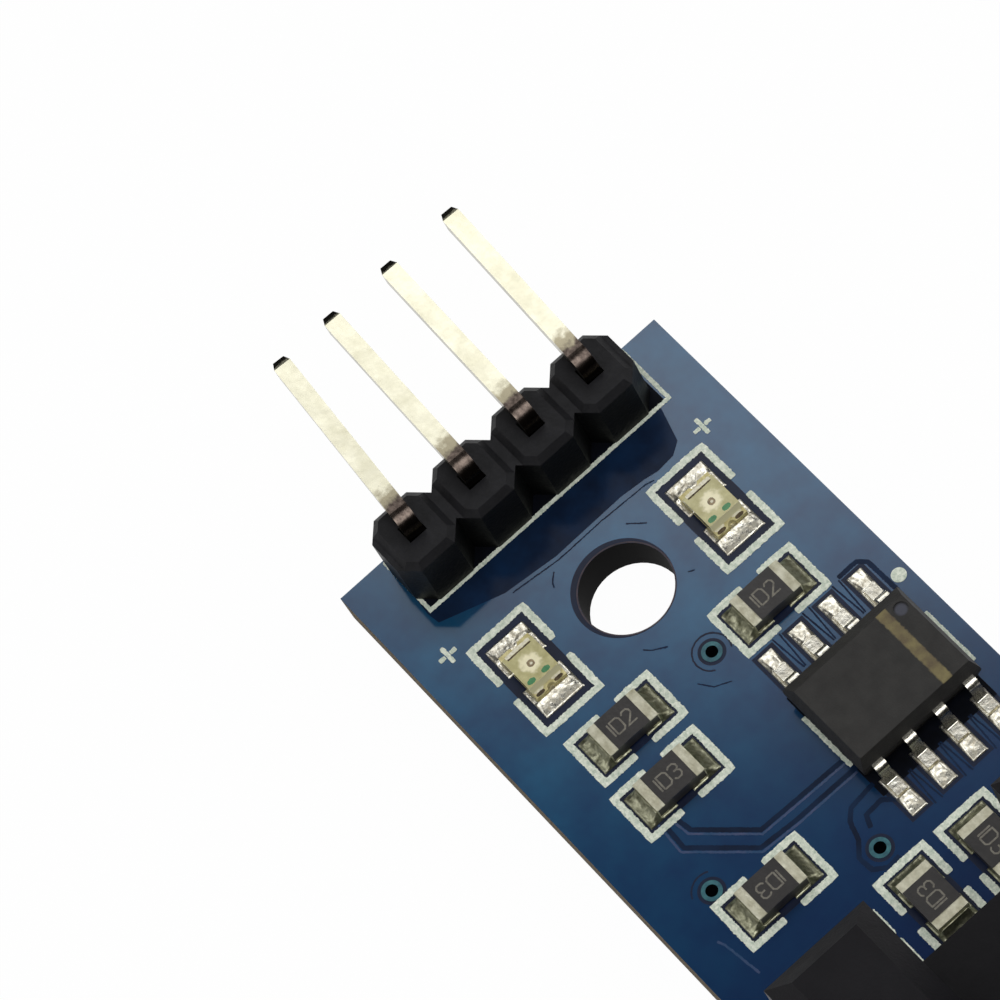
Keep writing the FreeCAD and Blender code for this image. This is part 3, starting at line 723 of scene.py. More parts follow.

# %% [markdown]
# ## Copper under the lacquer
# Where copper was etched away, the lacquer lies directly on the laminate and looks dark
# navy. Round every pad there is such a dark border, and along every copper run a dark
# channel on each side. The runs are a little raised, and the light on their shoulders is
# painted as pale strips, a painted highlight. Between the header and the mounting hole lies
# a whole dark field, partly laminate without copper and partly painted shadow and mirror
# image of the header. A few fine scratches in the lacquer are drawn in the same way as the
# channels.

# %% Finishes of channels and runs
channel_coat = make_finish(
    "resist_over_laminate", light=(8, 18, 42), dark=(15, 30, 58), patch=0.6,
    roughness=(0.4, 0.5), grain=(0.4, 0.006), coat=0.3, coat_roughness=0.15, specular=0.2,
)
# Dark resist over bare laminate; the same finish is also the painted shade of the dark field at
# the header.
dark_coat = make_finish(
    "resist_in_shade", light=(10, 38, 70), dark=(4, 20, 44), patch=1.4,
    roughness=(0.5, 0.6), grain=(0.6, 0.006), coat=0.22, coat_roughness=0.2, specular=0.1,
)
deep_shade = make_finish(
    "resist_in_deep_shade", light=(8, 12, 24), dark=(4, 6, 12), patch=0.6,
    roughness=(0.6, 0.7), grain=(0.4, 0.006), specular=0.1,
)
GLOSSY_RUN = {"roughness": (0.34, 0.44), "metallic": BOARD_METAL, "coat": BOARD_GLOSS,
              "coat_roughness": 0.09, "specular": 0.25, "coat_ior": 1.7}
run_coat = make_finish(
    "resist_over_copper_run", light=(40, 84, 122), dark=(26, 66, 106), patch=0.7,
    grain=(0.4, 0.006), **GLOSSY_RUN,
)
# Painted highlight for the shoulders of the copper runs.
shoulder_highlight_coat = make_finish(
    "resist_on_run_shoulder", light=(72, 82, 118), dark=(34, 72, 110), patch=0.5,
    grain=(0.3, 0.006), **GLOSSY_RUN,
)
print("covered copper:", run_coat.name, "and", shoulder_highlight_coat.name)

# %% Channels and runs on the upper face
channels = [
    [(6.56, -3.97), (6.95, -4.0), (7.79, -3.88), (9.39, -2.31), (9.43, -1.25), (9.5, 1.2)],
    [(6.92, -4.36), (8.09, -4.43), (9.84, -2.7), (9.95, -1.3), (9.98, 1.2)],
    [(11.7, 1.38), (11.36, 1.01), (11.4, 0.35), (11.83, 0.17)],
    [(10.77, 1.2), (10.88, 0.17), (11.21, -0.16), (11.86, -0.36), (12.3, -0.74), (12.9, -0.72),
     (13.2, -0.3), (13.16, 0.2)],
    [(4.72, 5.01), (4.72, 5.79), (4.99, 6.05), (6.49, 6.07)],
]
board_film("etched_channels", strokes(channels, 0.17, ragged=0.02, seed=300), dark_coat)
# Painted highlight: pale strips along the runs stand for the light on their raised shoulders.
shoulder_highlights = [
    [(7.0, -4.13), (7.84, -4.02), (9.53, -2.37), (9.57, -1.25), (9.64, 1.1)],
    [(6.92, -4.51), (8.13, -4.59), (9.98, -2.76), (10.09, -1.3), (10.12, 1.1)],
    [(11.2, -5.7), (11.47, -5.6), (12.93, -5.42)],
]
board_film("run_shoulder_highlights", strokes(shoulder_highlights, 0.08, ragged=0.02, seed=320), shoulder_highlight_coat)

# %% Dark field and painted shade at the header, and scratches
# Painted shadow: this dark field is partly laminate without copper and partly the header's
# shadow and mirror image, painted on.
shadow_and_bare_field = [(-6.6, -4.9), (-4.1, -5.15), (-3.6, -5.08), (-2.8, -2.9), (-2.56, -0.87),
              (-2.6, 1.96), (-2.5, 2.9), (-2.4, 3.4), (-2.45, 4.1), (-2.75, 4.55),
              (-4.11, 4.95), (-6.6, 5.1)]
board_film("header_shadow_and_bare_laminate", [patch(shadow_and_bare_field)], dark_coat)
board_film("shade_at_header_foot", [box_patch(-6.55, -4.2, -4.9, 5.2)], deep_shade)
scratches = [
    [(-2.24, 3.1), (-2.33, 2.81), (-2.42, 0.95), (-2.4, -0.9), (-2.62, -2.7)],
    [(-1.75, 1.46), (-1.27, 1.96)],
    [(1.02, 1.78), (1.13, 1.98)],
    [(2.02, -1.0), (2.2, -0.85), (2.53, -0.36)],
    [(-2.19, -1.28), (-1.95, -1.55), (-1.76, -1.64)],
    [(4.18, -0.53), (4.65, -0.22), (4.92, 0.32)],
]
board_film("fine_scratches", strokes(scratches, 0.05, ragged=0.02, seed=333), dark_coat)

# %% Dark borders of the pads
RESISTOR_BORDER = (-1.6, 1.6, -0.86, 0.86)
LIGHT_BORDER = (-1.87, 1.87, -1.02, 1.02)
COMPARATOR_SHADE = (-2.1, 2.6, -2.42, 2.36)
LEAD_STEPS = (-1.905, -0.635, 0.635, 1.905)
LEAD_PAD = 2.9
FINGER_LEAN = 0.14


def turned_box(centre, turn, u_low, u_high, v_low, v_high):
    """A rectangle along a chip."""
    corners = [(u_low, v_low), (u_high, v_low), (u_high, v_high), (u_low, v_high)]
    return patch([turned(corner, centre, turn) for corner in corners])


borders = [turned_box(centre, turn, *RESISTOR_BORDER)
           for centre, turn, _ in RESISTORS.values()]
borders += [turned_box(centre, 0, *LIGHT_BORDER) for centre in INDICATORS.values()]
board_film("chip_pad_borders", borders, channel_coat)
borders = [turned_box(COMPARATOR, 0, x - 1.0, x + 1.0, y - 0.44, y + 0.44)
           for x in (-LEAD_PAD, LEAD_PAD) for y in LEAD_STEPS]
board_film("comparator_pad_borders", borders, channel_coat)
shade = [turned_box(COMPARATOR, 0, *COMPARATOR_SHADE)]
board_film("shade_under_comparator", shade, deep_shade)
fingers = []
for side in (-1, 1):
    for low, high in zip(LEAD_STEPS, LEAD_STEPS[1:]):
        middle = (low + high) / 2
        for lean in (-FINGER_LEAN, FINGER_LEAN):
            line = [(side * 3.95, middle + lean), (side * 2.5, middle + lean / 4)]
            fingers.append([turned(point, COMPARATOR, 0) for point in line])
board_film("copper_fingers", strokes(fingers, 0.06, ragged=0.015, seed=340), dark_coat)

# %% [markdown]
# ## Holes
# Three small plated holes lead copper runs to the other side. Lacquer covers their raised
# rings, which look teal, and an open arc of channel runs round each. Their bores are drawn
# as near-black discs, a painted shade for the dark inside of the holes. The mounting hole has
# a dark border where the copper stops short of the drill, wider on one side because the
# drill was a little off, and a thin bare rim.

# %% Plated small holes
VIAS = ((3.69, 0.52), (9.81, -4.73), (12.53, -0.06))
VIA_ARCS = ((60, 330), (150, 250), (230, 300))
VIA_BORE = 0.21
VIA_RING = 0.35
VIA_OVERLAP = 0.02
via_ring = make_finish(
    "resist_over_via", light=(54, 116, 124), dark=(26, 76, 92), patch=0.25,
    roughness=(0.3, 0.4), grain=(0.2, 0.01), coat=0.7, coat_roughness=0.2, specular=0.25,
)
# Painted shade: the bores are near-black discs standing for the dark inside of each hole.
via_hole_shade = make_finish(
    "inside_of_small_hole", light=(4, 6, 8), dark=(1, 2, 3), patch=0.2,
    roughness=(0.8, 0.9), grain=(0.1, 0.01), specular=0.0,
)


def arc(centre, radius, first, last, steps=14):
    """Points of an arc between two angles in degrees."""
    angles = [math.radians(first + (last - first) * k / steps) for k in range(steps + 1)]
    return [(centre[0] + radius * math.cos(a), centre[1] + radius * math.sin(a))
            for a in angles]


shapes = [stroke(arc(centre, 0.66, first, last), 0.06, ragged=0.015, seed=360)
          for centre, (first, last) in zip(VIAS, VIA_ARCS)]
board_film("via_borders", shapes + rings(VIAS, 0.34, 0.47), channel_coat)
board_film("via_rings", rings(VIAS, VIA_BORE - VIA_OVERLAP, VIA_RING), via_ring)
board_film("via_hole_shade_discs", rings(VIAS, 0, VIA_BORE), via_hole_shade)

# %% Border of the mounting hole
HOLE_RADIUS = 1.6
HOLE_SIDES = 96
HOLE_SHIFT = Vector((-0.1, -0.06))
rim_coat = make_finish(
    "bare_rim_of_mounting_hole", light=(74, 58, 66), dark=(40, 34, 46), patch=0.5,
    roughness=(0.4, 0.5), grain=(0.2, 0.01),
)
points, faces = ring((0, 0), HOLE_RADIUS, 1.74, HOLE_SIDES)
crescent = [point + HOLE_SHIFT for point in points[:HOLE_SIDES]] + points[HOLE_SIDES:]
board_film("mounting_hole_border", [(crescent, faces)], channel_coat)
board_film("mounting_hole_rim", [ring((0, 0), HOLE_RADIUS, 1.65, HOLE_SIDES)], rim_coat)

# %% [markdown]
# ## Solder
# Each chip stands on two pads of copper under solder. The solder climbs the end of the chip
# in a hollow curve, wets the pad right up to its border and freezes with a slightly lumpy
# skin, bright with dark specks. The CAD model has it as a plain wedge. Here each joint is a
# grid of points whose heights follow that curve, with a little seeded noise on top.

# %% Finish of the solder
bright_solder = make_finish(
    "bright_mottled_solder", light=(255, 253, 240), dark=(186, 178, 158), patch=0.16,
    roughness=(0.2, 0.4), grain=(0.14, 0.010), metallic=1.0,
)
dull_solder = make_finish(
    "olive_grey_solder", light=(180, 180, 154), dark=(104, 104, 82), patch=0.24,
    roughness=(0.28, 0.45), grain=(0.22, 0.025), metallic=1.0,
)
print("solder:", bright_solder.name, "and", dull_solder.name)

# %% Joints as height fields
LUMP_SALT = 7.3
RIM_DEPTH = -0.002


def joint_grid(u_range, v_range, height, step=0.04):
    """Points and faces of a mound over a rectangle, with its sides down to the board."""
    (u0, u1), (v0, v1) = u_range, v_range
    across = max(2, round((u1 - u0) / step))
    along = max(2, round((v1 - v0) / step))
    points = []
    for i in range(across + 1):
        for j in range(along + 1):
            u = u0 + (u1 - u0) * i / across
            v = v0 + (v1 - v0) * j / along
            rim = i in (0, across) or j in (0, along)
            points.append((u, v, RIM_DEPTH if rim else height(u, v)))
    faces = []
    for i in range(across):
        for j in range(along):
            a = i * (along + 1) + j
            faces.append((a, a + along + 1, a + along + 2, a + 1))
    return points, faces


def lumps(u, v, salt, size, depth):
    """Small unevenness of frozen solder."""
    return depth * noise.noise(Vector((u / size, v / size, salt * LUMP_SALT)))


def add_joints(name, node, grids, material):
    """Make one piece of several mounds, each a grid with its own centre and turn."""
    mound = bmesh.new()
    for (points, faces), centre, turn in grids:
        corners = []
        for u, v, height in points:
            flat = turned((u, v), centre, turn)
            spot = Vector((flat.x, flat.y, BOARD_TOP + height))
            corners.append(mound.verts.new(spot * MM))
        for face in faces:
            mound.faces.new([corners[i] for i in face])
    for face in mound.faces:
        face.smooth = True
        face.normal_update()
        if face.normal.z < 0:
            face.normal_flip()
    mesh = bpy.data.meshes.new(name)
    mound.to_mesh(mesh)
    mound.free()
    piece = add_piece(name, mesh, material)
    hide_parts(node)
    print(name, "has", len(mesh.polygons), "faces")

# %% Solder of the chips and lights
PAD_START = 0.33
CHIP_END = 1.0
UNDER_CHIP = 0.66
THIN_SOLDER = 0.05
HIDDEN_SOLDER = 0.045
FLIPS = (0, 180)


def chip_mound(rise, reach, half, salt):
    """Height of the solder under and beside one end of a chip, from its middle outwards."""
    def height(u, v):
        if u < CHIP_END and abs(v) < UNDER_CHIP:
            return HIDDEN_SOLDER
        hollow = 0.0
        if u >= CHIP_END:
            hollow = max(0.0, 1.0 - (u - CHIP_END) / (reach - CHIP_END)) ** 1.8
        edge = min(1.0, max(0.0, (half - abs(v)) / 0.2))
        body = (rise - THIN_SOLDER) * hollow * edge * edge * (3 - 2 * edge)
        return THIN_SOLDER + body + lumps(u, v, salt, 0.11, 0.008)
    return height


def solder_chip(name, centre, turn, number, rise, reach, half, material):
    """Both joints of a chip, in place of its plain CAD solder."""
    grids = [(joint_grid((PAD_START, reach), (-half, half),
                         chip_mound(rise, reach, half, number + flip / 360)),
              centre, turn + flip) for flip in FLIPS]
    add_joints(name + "_joints", name + "_solder", grids, material)


for number, (name, (centre, turn, _)) in enumerate(RESISTORS.items()):
    solder_chip(name, centre, turn, number, rise=0.36, reach=1.48, half=0.72,
                material=dull_solder)
for number, (name, centre) in enumerate(INDICATORS.items(), 20):
    solder_chip(name, centre, 0, number, rise=0.16, reach=1.62, half=0.8,
                material=bright_solder)

# %% Solder of the comparator
FOOT_START = 2.1
FOOT_END = 3.02
PAD_END = 3.78
PAD_HALF = 0.31


def lead_mound(salt):
    """Height of the solder round a lead's foot."""
    def height(u, v):
        edge = min(1.0, max(0.0, (PAD_HALF - abs(v)) / 0.12))
        if u <= FOOT_END:
            return HIDDEN_SOLDER if abs(v) < 0.22 else THIN_SOLDER + 0.06 * edge
        hollow = max(0.0, 1.0 - (u - FOOT_END) / 0.7) ** 1.4
        return THIN_SOLDER + 0.13 * hollow * edge + lumps(u, v, salt, 0.14, 0.01)
    return height


grids = []
for k, step_y in enumerate(LEAD_STEPS):
    for flip in FLIPS:
        centre = (COMPARATOR[0], COMPARATOR[1] + step_y)
        mound = joint_grid((FOOT_START, PAD_END), (-PAD_HALF, PAD_HALF),
                           lead_mound(40 + k + flip / 360), step=0.035)
        grids.append((mound, centre, flip))
add_joints("comparator_joints", "comparator_solder", grids, bright_solder)

# %% [markdown]
# ## Header and pins
# The header's body is black glass-filled plastic, a little shiny on the moulded tops, with
# its walls painted darker than the tops as a painted shade. The pins are square brass wire
# with a creamy tin plating. Where a pin was bent the plating has brown scuffs, and the curve
# is also painted darker as a painted reflection of dark surroundings. Nearest the housing
# the pin is painted dark brown as a painted shade, and its side faces are painted darker by
# the way they face, also a painted shade. The sheared tip has no plating, so it is dark.
# The tones along the pin go by the distance along the board. The soldered tails under the
# board have the same distance as the bends, so they are shifted out of reach of the tones.

# %% Finish of the header body
header_plastic, tree, shader = start_finish(
    "black_header_plastic", light=(36, 36, 39), dark=(23, 23, 25), patch=0.5,
    roughness=(0.42, 0.55), grain=(0.12, 0.012), softness=0.3, specular=0.2,
)
# Painted shade: the walls are painted darker than the moulded tops.
wall_shade = work_out(tree, "LESS_THAN", facing(tree)[2], 0.3)
tint_over(tree, shader, wall_shade, (15, 15, 15))
dress("header_housing", header_plastic)


def round_edges(node, width, segments=2):
    """Break the sharp edges of a CAD node with a small bevel, its width in millimetres."""
    bevel = nodes[node].modifiers.new("rounded edges", "BEVEL")
    bevel.width = width * MM
    bevel.segments = segments
    bevel.limit_method = "ANGLE"


HEADER_EDGE = 0.07
round_edges("header_housing", HEADER_EDGE, 3)
print("header body:", len(tree.nodes), "nodes")

# %% Finish of the pins
TAIL_SHIFT = 10.0
pin_tin, tree, shader = start_finish(
    "creamy_tin_on_pins", light=(248, 245, 224), dark=(232, 228, 200), patch=0.9,
    roughness=(0.2, 0.28), grain=(0.5, 0.003), softness=0.3, metallic=1.0,
)
x, y, z = position_in_mm(tree)
tail = work_out(tree, "LESS_THAN", z, BOARD_TOP)
x = work_out(tree, "MULTIPLY_ADD", tail, TAIL_SHIFT, x)
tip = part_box("header_pin_2")[0].x / MM
worn = add_band(tree, x, -6.9, -4.0, border=0.4, ragged=1.0, ragged_size=0.25)
tint_over(tree, shader, worn, (168, 160, 136))
# Scuffs and painted reflection: the bend is scuffed brown and also painted darker for the dark
# surroundings that its curve reflects.
bend = add_band(tree, x, -6.3, -4.0, border=0.25, ragged=0.8, ragged_size=0.3)
scuffed_and_dark_reflection = add_tint(tree, (116, 104, 96), (62, 54, 50), patch=0.16)
tint_over(tree, shader, bend, scuffed_and_dark_reflection["Colour"])
shade = add_band(tree, x, -5.55, -4.0, border=0.2, ragged=0.3, ragged_size=0.3)
tint_over(tree, shader, shade, (52, 46, 42))
# Painted shade: the side faces of the pins are painted darker by the way they face.
flank_shade = work_out(tree, "ABSOLUTE", facing(tree)[1])
tint_over(tree, shader, stretch(tree, flank_shade, 0.3, 0.8, 0.0, 0.7), (96, 90, 70))
sheared = add_band(tree, x, tip - 2.0, tip + 0.2, border=0.06, ragged=0.16, ragged_size=0.15)
tint_over(tree, shader, sheared, (58, 56, 50))
for number in range(1, 5):
    dress(f"header_pin_{number}", pin_tin)
    round_edges(f"header_pin_{number}", HEADER_EDGE, 3)
print("pins end at", round(tip, 2), "mm")

# %% [markdown]
# ## The comparator
# The eight-lead package is dark grey moulding compound with a fine matt skin. A tan stripe
# is printed across it near the first lead, and the first-lead dimple is painted a lighter
# bluish grey as a painted sheen. The leads are tinned and bent like a gull's wing: shoulder
# and foot shine, and the slanting part stays grey.

# %% Finish of the package
DIMPLE = (COMPARATOR[0] - 1.08, COMPARATOR[1] + 1.94)
STRIPE = (4.73, 5.12)
package_compound, tree, shader = start_finish(
    "grey_moulding_compound", light=(54, 53, 51), dark=(42, 41, 40), patch=0.6,
    roughness=(0.5, 0.62), grain=(0.06, 0.012), softness=0.3, specular=0.3,
)
x, y, z = position_in_mm(tree)
stripe = add_band(tree, y, *STRIPE, border=0.05, ragged=0.1, ragged_size=0.12)
stripe_tone = add_tint(tree, (132, 122, 84), (96, 84, 66), patch=0.5)
package_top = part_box("comparator_body")[1].z / MM
on_top = work_out(tree, "GREATER_THAN", z, package_top - 0.03)
tint_over(tree, shader, work_out(tree, "MULTIPLY", stripe, on_top), stripe_tone["Colour"])
# Painted sheen: the first-lead dimple is painted a lighter bluish grey for the light on its
# curved floor.
dimple_sheen = stretch(tree, distance_across(tree, x, y, DIMPLE), 0.16, 0.26, 0.8, 0.0)
tint_over(tree, shader, dimple_sheen, (78, 80, 92))
dress("comparator_body", package_compound)
print("top of the package at", round(package_top, 2), "mm")

# %% Finish of the leads
lead_tin = make_finish(
    "tin_on_leads", light=(250, 248, 236), dark=(206, 200, 184), patch=0.25,
    roughness=(0.18, 0.3), grain=(0.18, 0.008), softness=0.25, metallic=1.0,
)
for number in range(1, 9):
    dress(f"comparator_lead_{number}", lead_tin)
print("leads dressed:", number)

# %% [markdown]
# ## Resistors
# A chip resistor is a white ceramic block with a black glaze on top and plated end caps
# that wrap round it. The value is printed on the glaze in thin grey squarish figures. They
# are drawn here as fine strokes on a unit square and scaled to half a millimetre.

# %% Finishes of the resistors
glaze = make_finish(
    "black_resistor_glaze", light=(50, 47, 46), dark=(32, 30, 30), patch=0.4,
    roughness=(0.35, 0.5), grain=(0.1, 0.008), softness=0.3, coat=0.15,
)
cap_tin = make_finish(
    "beige_plated_caps", light=(226, 224, 204), dark=(176, 172, 146), patch=0.3,
    roughness=(0.42, 0.55), grain=(0.12, 0.015), softness=0.25, metallic=1.0,
)
figure_ink = make_finish(
    "grey_figure_ink", light=(136, 132, 120), dark=(100, 96, 88), patch=0.1,
    roughness=(0.5, 0.7), grain=(0.05, 0.008),
)
for name in RESISTORS:
    dress(name + "_body", glaze)
    dress(name + "_caps", cap_tin)
    round_edges(name + "_caps", 0.035)
print("resistors dressed:", len(RESISTORS))

# %% Figures on the resistors
FIGURES = {
    "0": [[(0.0, 0.0), (0.5, 0.0), (0.66, 0.16), (0.66, 0.84), (0.5, 1.0), (0.0, 1.0),
           (0.0, 0.0)]],
    "1": [[(0.0, 0.0), (0.0, 1.0)]],
    "2": [[(0.0, 0.82), (0.14, 1.0), (0.46, 1.0), (0.6, 0.84), (0.6, 0.62), (0.0, 0.0),
           (0.66, 0.0)]],
    "3": [[(0.0, 0.86), (0.14, 1.0), (0.46, 1.0), (0.6, 0.84), (0.6, 0.64), (0.46, 0.52),
           (0.2, 0.52)],
          [(0.46, 0.5), (0.6, 0.36), (0.6, 0.16), (0.46, 0.0), (0.14, 0.0), (0.0, 0.14)]],
}
FIGURE_WIDTH = {"0": 0.66, "1": 0.0, "2": 0.64, "3": 0.6}
FIGURE_HEIGHT = 0.52
FIGURE_GAP = 0.2
FIGURE_LINE = 0.06


def figure_lines(code, centre, turn):
    """Lines of a row of figures, centred on a chip and read along its long axis."""
    total = sum(FIGURE_WIDTH[figure] for figure in code) + FIGURE_GAP * (len(code) - 1)
    start = -total / 2
    lines = []
    for figure in code:
        for line in FIGURES[figure]:
            lines.append([turned(((start + u) * FIGURE_HEIGHT, (v - 0.5) * FIGURE_HEIGHT),
                                 centre, turn) for u, v in line])
        start += FIGURE_WIDTH[figure] + FIGURE_GAP
    return lines


for name, (centre, turn, code) in RESISTORS.items():
    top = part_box(name + "_body")[1].z / MM
    shapes = strokes(figure_lines(code, centre, turn), FIGURE_LINE, ragged=0.006, seed=0)
    film(name + "_figures", shapes, top - 0.002, top + 0.004, figure_ink)

# %% [markdown]
# ## Indicator lights
# Each light is a notched carrier with plated ends and a block of clear resin on top. In the
# resin one sees the pale cup with the tiny die in it, and two green polarity marks. At the
# marked end the notches leave two dark pits, brown with painted shade, and beside them lie
# two pale blocks that are painted highlights; the resin's end faces there are painted
# lighter, also a painted highlight. At the other end lies a pale bar. What lies in the resin
# is drawn as films on its top, because clear resin this thin bends it little.

# %% Finishes of the lights
def make_resin(name, centre):
    """Clear resin over a pale cup, whose glow fades out round the middle of the lens."""
    material, tree, shader = start_finish(
        "clear_resin_of_" + name, light=(208, 202, 148), dark=(166, 158, 100), patch=0.3,
        roughness=(0.15, 0.25), grain=(0.4, 0.01), softness=0.3, coat=0.8,
        coat_roughness=0.05,
    )
    x, y, z = position_in_mm(tree)
    away = distance_across(tree, x, y, (centre[0] + 0.02, centre[1]))
    shiver = add_effect(tree, "fine grain", {"Grain Size": 0.24, "Depth": 0.5})["Height"]
    ragged = work_out(tree, "ADD", away, shiver)
    cup = stretch(tree, ragged, 0.46, 0.7, 1.0, 0.0, "SMOOTHSTEP")
    tint_over(tree, shader, cup, (252, 244, 204))
    # Painted highlight: resin faces that face +X are painted lighter, because little light
    # reaches them.
    end_face_highlight = work_out(tree, "GREATER_THAN", facing(tree)[0], STEEP)
    tint_over(tree, shader, end_face_highlight, (244, 238, 196))
    return material


carrier = make_finish(
    "cream_carrier", light=(222, 212, 160), dark=(186, 174, 122), patch=0.3,
    roughness=(0.4, 0.55), grain=(0.1, 0.01),
)
gilt = make_finish(
    "cream_plated_ends", light=(232, 222, 168), dark=(190, 178, 122), patch=0.25,
    roughness=(0.35, 0.5), grain=(0.15, 0.015), metallic=0.4,
)
for name, centre in INDICATORS.items():
    dress(name + "_lens", make_resin(name, centre))
    dress(name + "_base", carrier)
    dress(name + "_terminals", gilt)
    print(name, "at", [round(c, 2) for c in centre])

# %% Die, marks and pits of the lights
die_finish = make_finish(
    "brown_grey_die", light=(170, 150, 112), dark=(104, 88, 62), patch=0.08,
    roughness=(0.3, 0.5), grain=(0.05, 0.01), coat=0.5,
)
# Pale bond and bar; the same finish paints the highlights at the marked end of each light.
pale_bond_and_highlight = make_finish(
    "pale_bond_on_die", light=(250, 246, 224), dark=(214, 206, 176), patch=0.1,
    roughness=(0.3, 0.5), grain=(0.05, 0.01), coat=0.5,
)
mark_finish = make_finish(
    "green_polarity_mark", light=(74, 150, 92), dark=(38, 112, 64), patch=0.2,
    roughness=(0.3, 0.4), grain=(0.1, 0.01), softness=0.3, coat=0.6, coat_roughness=0.05,
)
pit_finish = make_finish(
    "brown_notch_pit", light=(96, 78, 52), dark=(52, 42, 28), patch=0.15,
    roughness=(0.5, 0.7), grain=(0.06, 0.01),
)
OUTLINE_SIDES = 40
LIGHT_SUNK = 0.003


def soft_shape(centre, half_u, half_v, power, rough, seed):
    """A rounded box with a slightly uneven border."""
    shake = random.Random(seed)
    outline = []
    for k in range(OUTLINE_SIDES):
        angle = 2 * math.pi * k / OUTLINE_SIDES
        c, s = math.cos(angle), math.sin(angle)
        reach = (abs(c) ** power + abs(s) ** power) ** (-1 / power)
        reach *= 1 + shake.uniform(-rough, rough)
        outline.append((centre[0] + half_u * reach * c, centre[1] + half_v * reach * s))
    return patch(outline)


def soft_pair(centre, along, apart, half_u, half_v, power, rough, seed):
    """The same soft shape on both sides of a light's long axis."""
    return [soft_shape((centre[0] + along, centre[1] + middle), half_u, half_v, power, rough,
                       seed) for middle in apart]


def light_film(name, shapes, level, rise, material):
    """A film that stands a little above a level of a light."""
    film(name, shapes, level - LIGHT_SUNK, level + rise, material)


for number, (name, (cx, cy)) in enumerate(INDICATORS.items(), 1):
    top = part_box(name + "_lens")[1].z / MM
    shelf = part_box(name + "_terminals")[1].z / MM
    die = [soft_shape((cx + 0.04, cy), 0.13, 0.13, 2.4, 0.05, number + 9)]
    bond = [soft_shape((cx + 0.05, cy + 0.01), 0.05, 0.05, 2.0, 0.05, number)]
    bar = [stroke([(cx - 0.66, cy - 0.5), (cx - 0.66, cy + 0.5)], 0.13, ragged=0.02, seed=7)]
    line = [stroke([(cx - 0.56, cy - 0.48), (cx - 0.56, cy + 0.48)], 0.05, ragged=0.02,
                   seed=8)]
    marks = soft_pair((cx, cy), 0.54, (-0.38, 0.22), 0.1, 0.16, 2.2, 0.08, number + 20)
    # Painted shade: the two dark pits are the brown notches of the carrier, with their shade
    # painted in.
    pits_with_shade = soft_pair((cx, cy), 0.92, (-0.4, 0.36), 0.07, 0.17, 2.6, 0.06, number + 30)
    # Painted highlights: two pale blocks on the end shelf beside the pits.
    end_highlights = soft_pair((cx, cy), 0.79, (-0.38, 0.34), 0.07, 0.19, 3.0, 0.08, number + 40)
    light_film(name + "_die", die, top, 0.003, die_finish)
    light_film(name + "_bond", bond, top, 0.005, pale_bond_and_highlight)
    light_film(name + "_end_bar", bar, top, 0.004, pale_bond_and_highlight)
    light_film(name + "_end_line", line, top, 0.003, pit_finish)
    light_film(name + "_marks", marks, top, 0.003, mark_finish)
    light_film(name + "_end_highlights", end_highlights, shelf, 0.003, pale_bond_and_highlight)
    light_film(name + "_pits_with_notch_shade", pits_with_shade, shelf, 0.004, pit_finish)

# %% [markdown]
# ## The slotted light barrier
# Its housing is one black satin moulding with fine spark-eroded grain. Behind the narrow
# windows in the slot sit a clear and a dark diode, each with a domed lens and tinned legs.

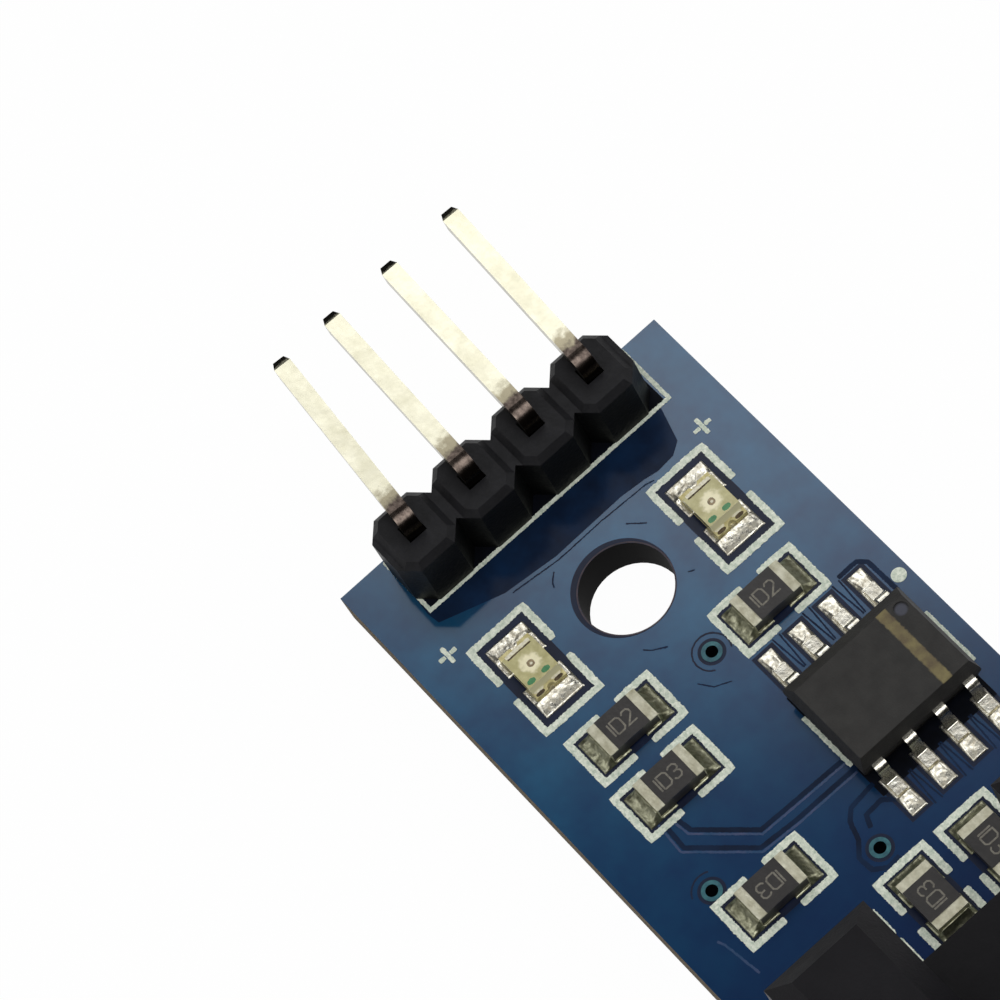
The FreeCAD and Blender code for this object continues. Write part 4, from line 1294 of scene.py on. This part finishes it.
# %% Finishes of the light barrier
LEGS = ("emitter_leg_1", "emitter_leg_2", "detector_leg_1", "detector_leg_2")
SMOOTH_EPOXY = {"patch": 1.0, "roughness": (0.05, 0.12), "grain": (0.5, 0.005), "coat": 0.8,
                "coat_roughness": 0.03}
barrier_plastic = make_finish(
    "black_barrier_plastic", light=(24, 23, 27), dark=(16, 15, 19), patch=1.2,
    roughness=(0.44, 0.56), grain=(0.1, 0.008), softness=0.3, specular=0.18,
)
clear_epoxy = make_finish(
    "pale_blue_epoxy", light=(196, 208, 220), dark=(170, 184, 200), **SMOOTH_EPOXY,
)
dark_epoxy = make_finish(
    "infrared_black_epoxy", light=(26, 20, 34), dark=(14, 10, 20), **SMOOTH_EPOXY,
)
dress("sensor_housing", barrier_plastic)
round_edges("sensor_housing", 0.16, 3)
dress("infrared_emitter", clear_epoxy)
dress("infrared_detector", dark_epoxy)
for name in LEGS:
    dress(name, lead_tin)
print("light barrier: housing, two diodes and", len(LEGS), "legs")

# %% [markdown]
# ## The soldered side
# Underneath, the header's tails and the diodes' legs stand in cones of solder on round
# pads. Each pad has its dark border in the lacquer, and the small holes come out here too.

# %% Pads and cones of the soldered side
INSIDE = 0.002
PIN_PITCH = 2.54


def under_film(name, shapes, drop, material):
    """A film on the lower face of the board, which lies at height 0."""
    film(name, shapes, INSIDE, -drop, material)


dress("header_solder", bright_solder)
dress("sensor_solder", bright_solder)
pin_axis = middle_of("header_solder")[0]
legs = [middle_of(name) for name in LEGS]
cones = [(pin_axis, (k - 1.5) * PIN_PITCH) for k in range(4)] + legs
borders = rings(cones, 0.88, 1.12) + rings(VIAS, 0.42, 0.6)
under_film("soldered_side_borders", borders, 0.004, channel_coat)
under_film("soldered_side_pads", rings(cones, 0.5, 0.9), 0.012, bright_solder)
under_film("soldered_side_small_holes", rings(VIAS, 0.19, 0.4), 0.01, via_ring)
under_film("soldered_side_hole_border", [ring((0, 0), 1.66, 1.86, HOLE_SIDES)], 0.006,
           channel_coat)

# %% Copper runs of the soldered side
run_start = pin_axis + 1.0
near_leg = min((leg for leg in legs if leg[1] < 0), key=lambda leg: leg[0])
runs = [[(run_start, -1.27), (-1.5, -2.9), (4.5, -2.9), (9.0, -4.2), VIAS[1]],
        [(run_start, 1.27), (-1.6, 3.0), (3.2, 3.0), (9.5, 0.6), VIAS[2]],
        [VIAS[0], (6.0, -1.2), (11.5, -1.9), (near_leg[0] - 1.0, near_leg[1])]]
under_film("soldered_side_runs", strokes(runs, 0.34, ragged=0.0, seed=400), 0.02, run_coat)

# %% Print the sizes and finish
visual_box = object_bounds()
sizes = {"cad": [list(corner) for corner in cad_box],
         "visual": [list(corner) for corner in visual_box]}
for label, (low, high) in sizes.items():
    print(label, [round((b - a) / MM, 3) for a, b in zip(low, high)], "mm")
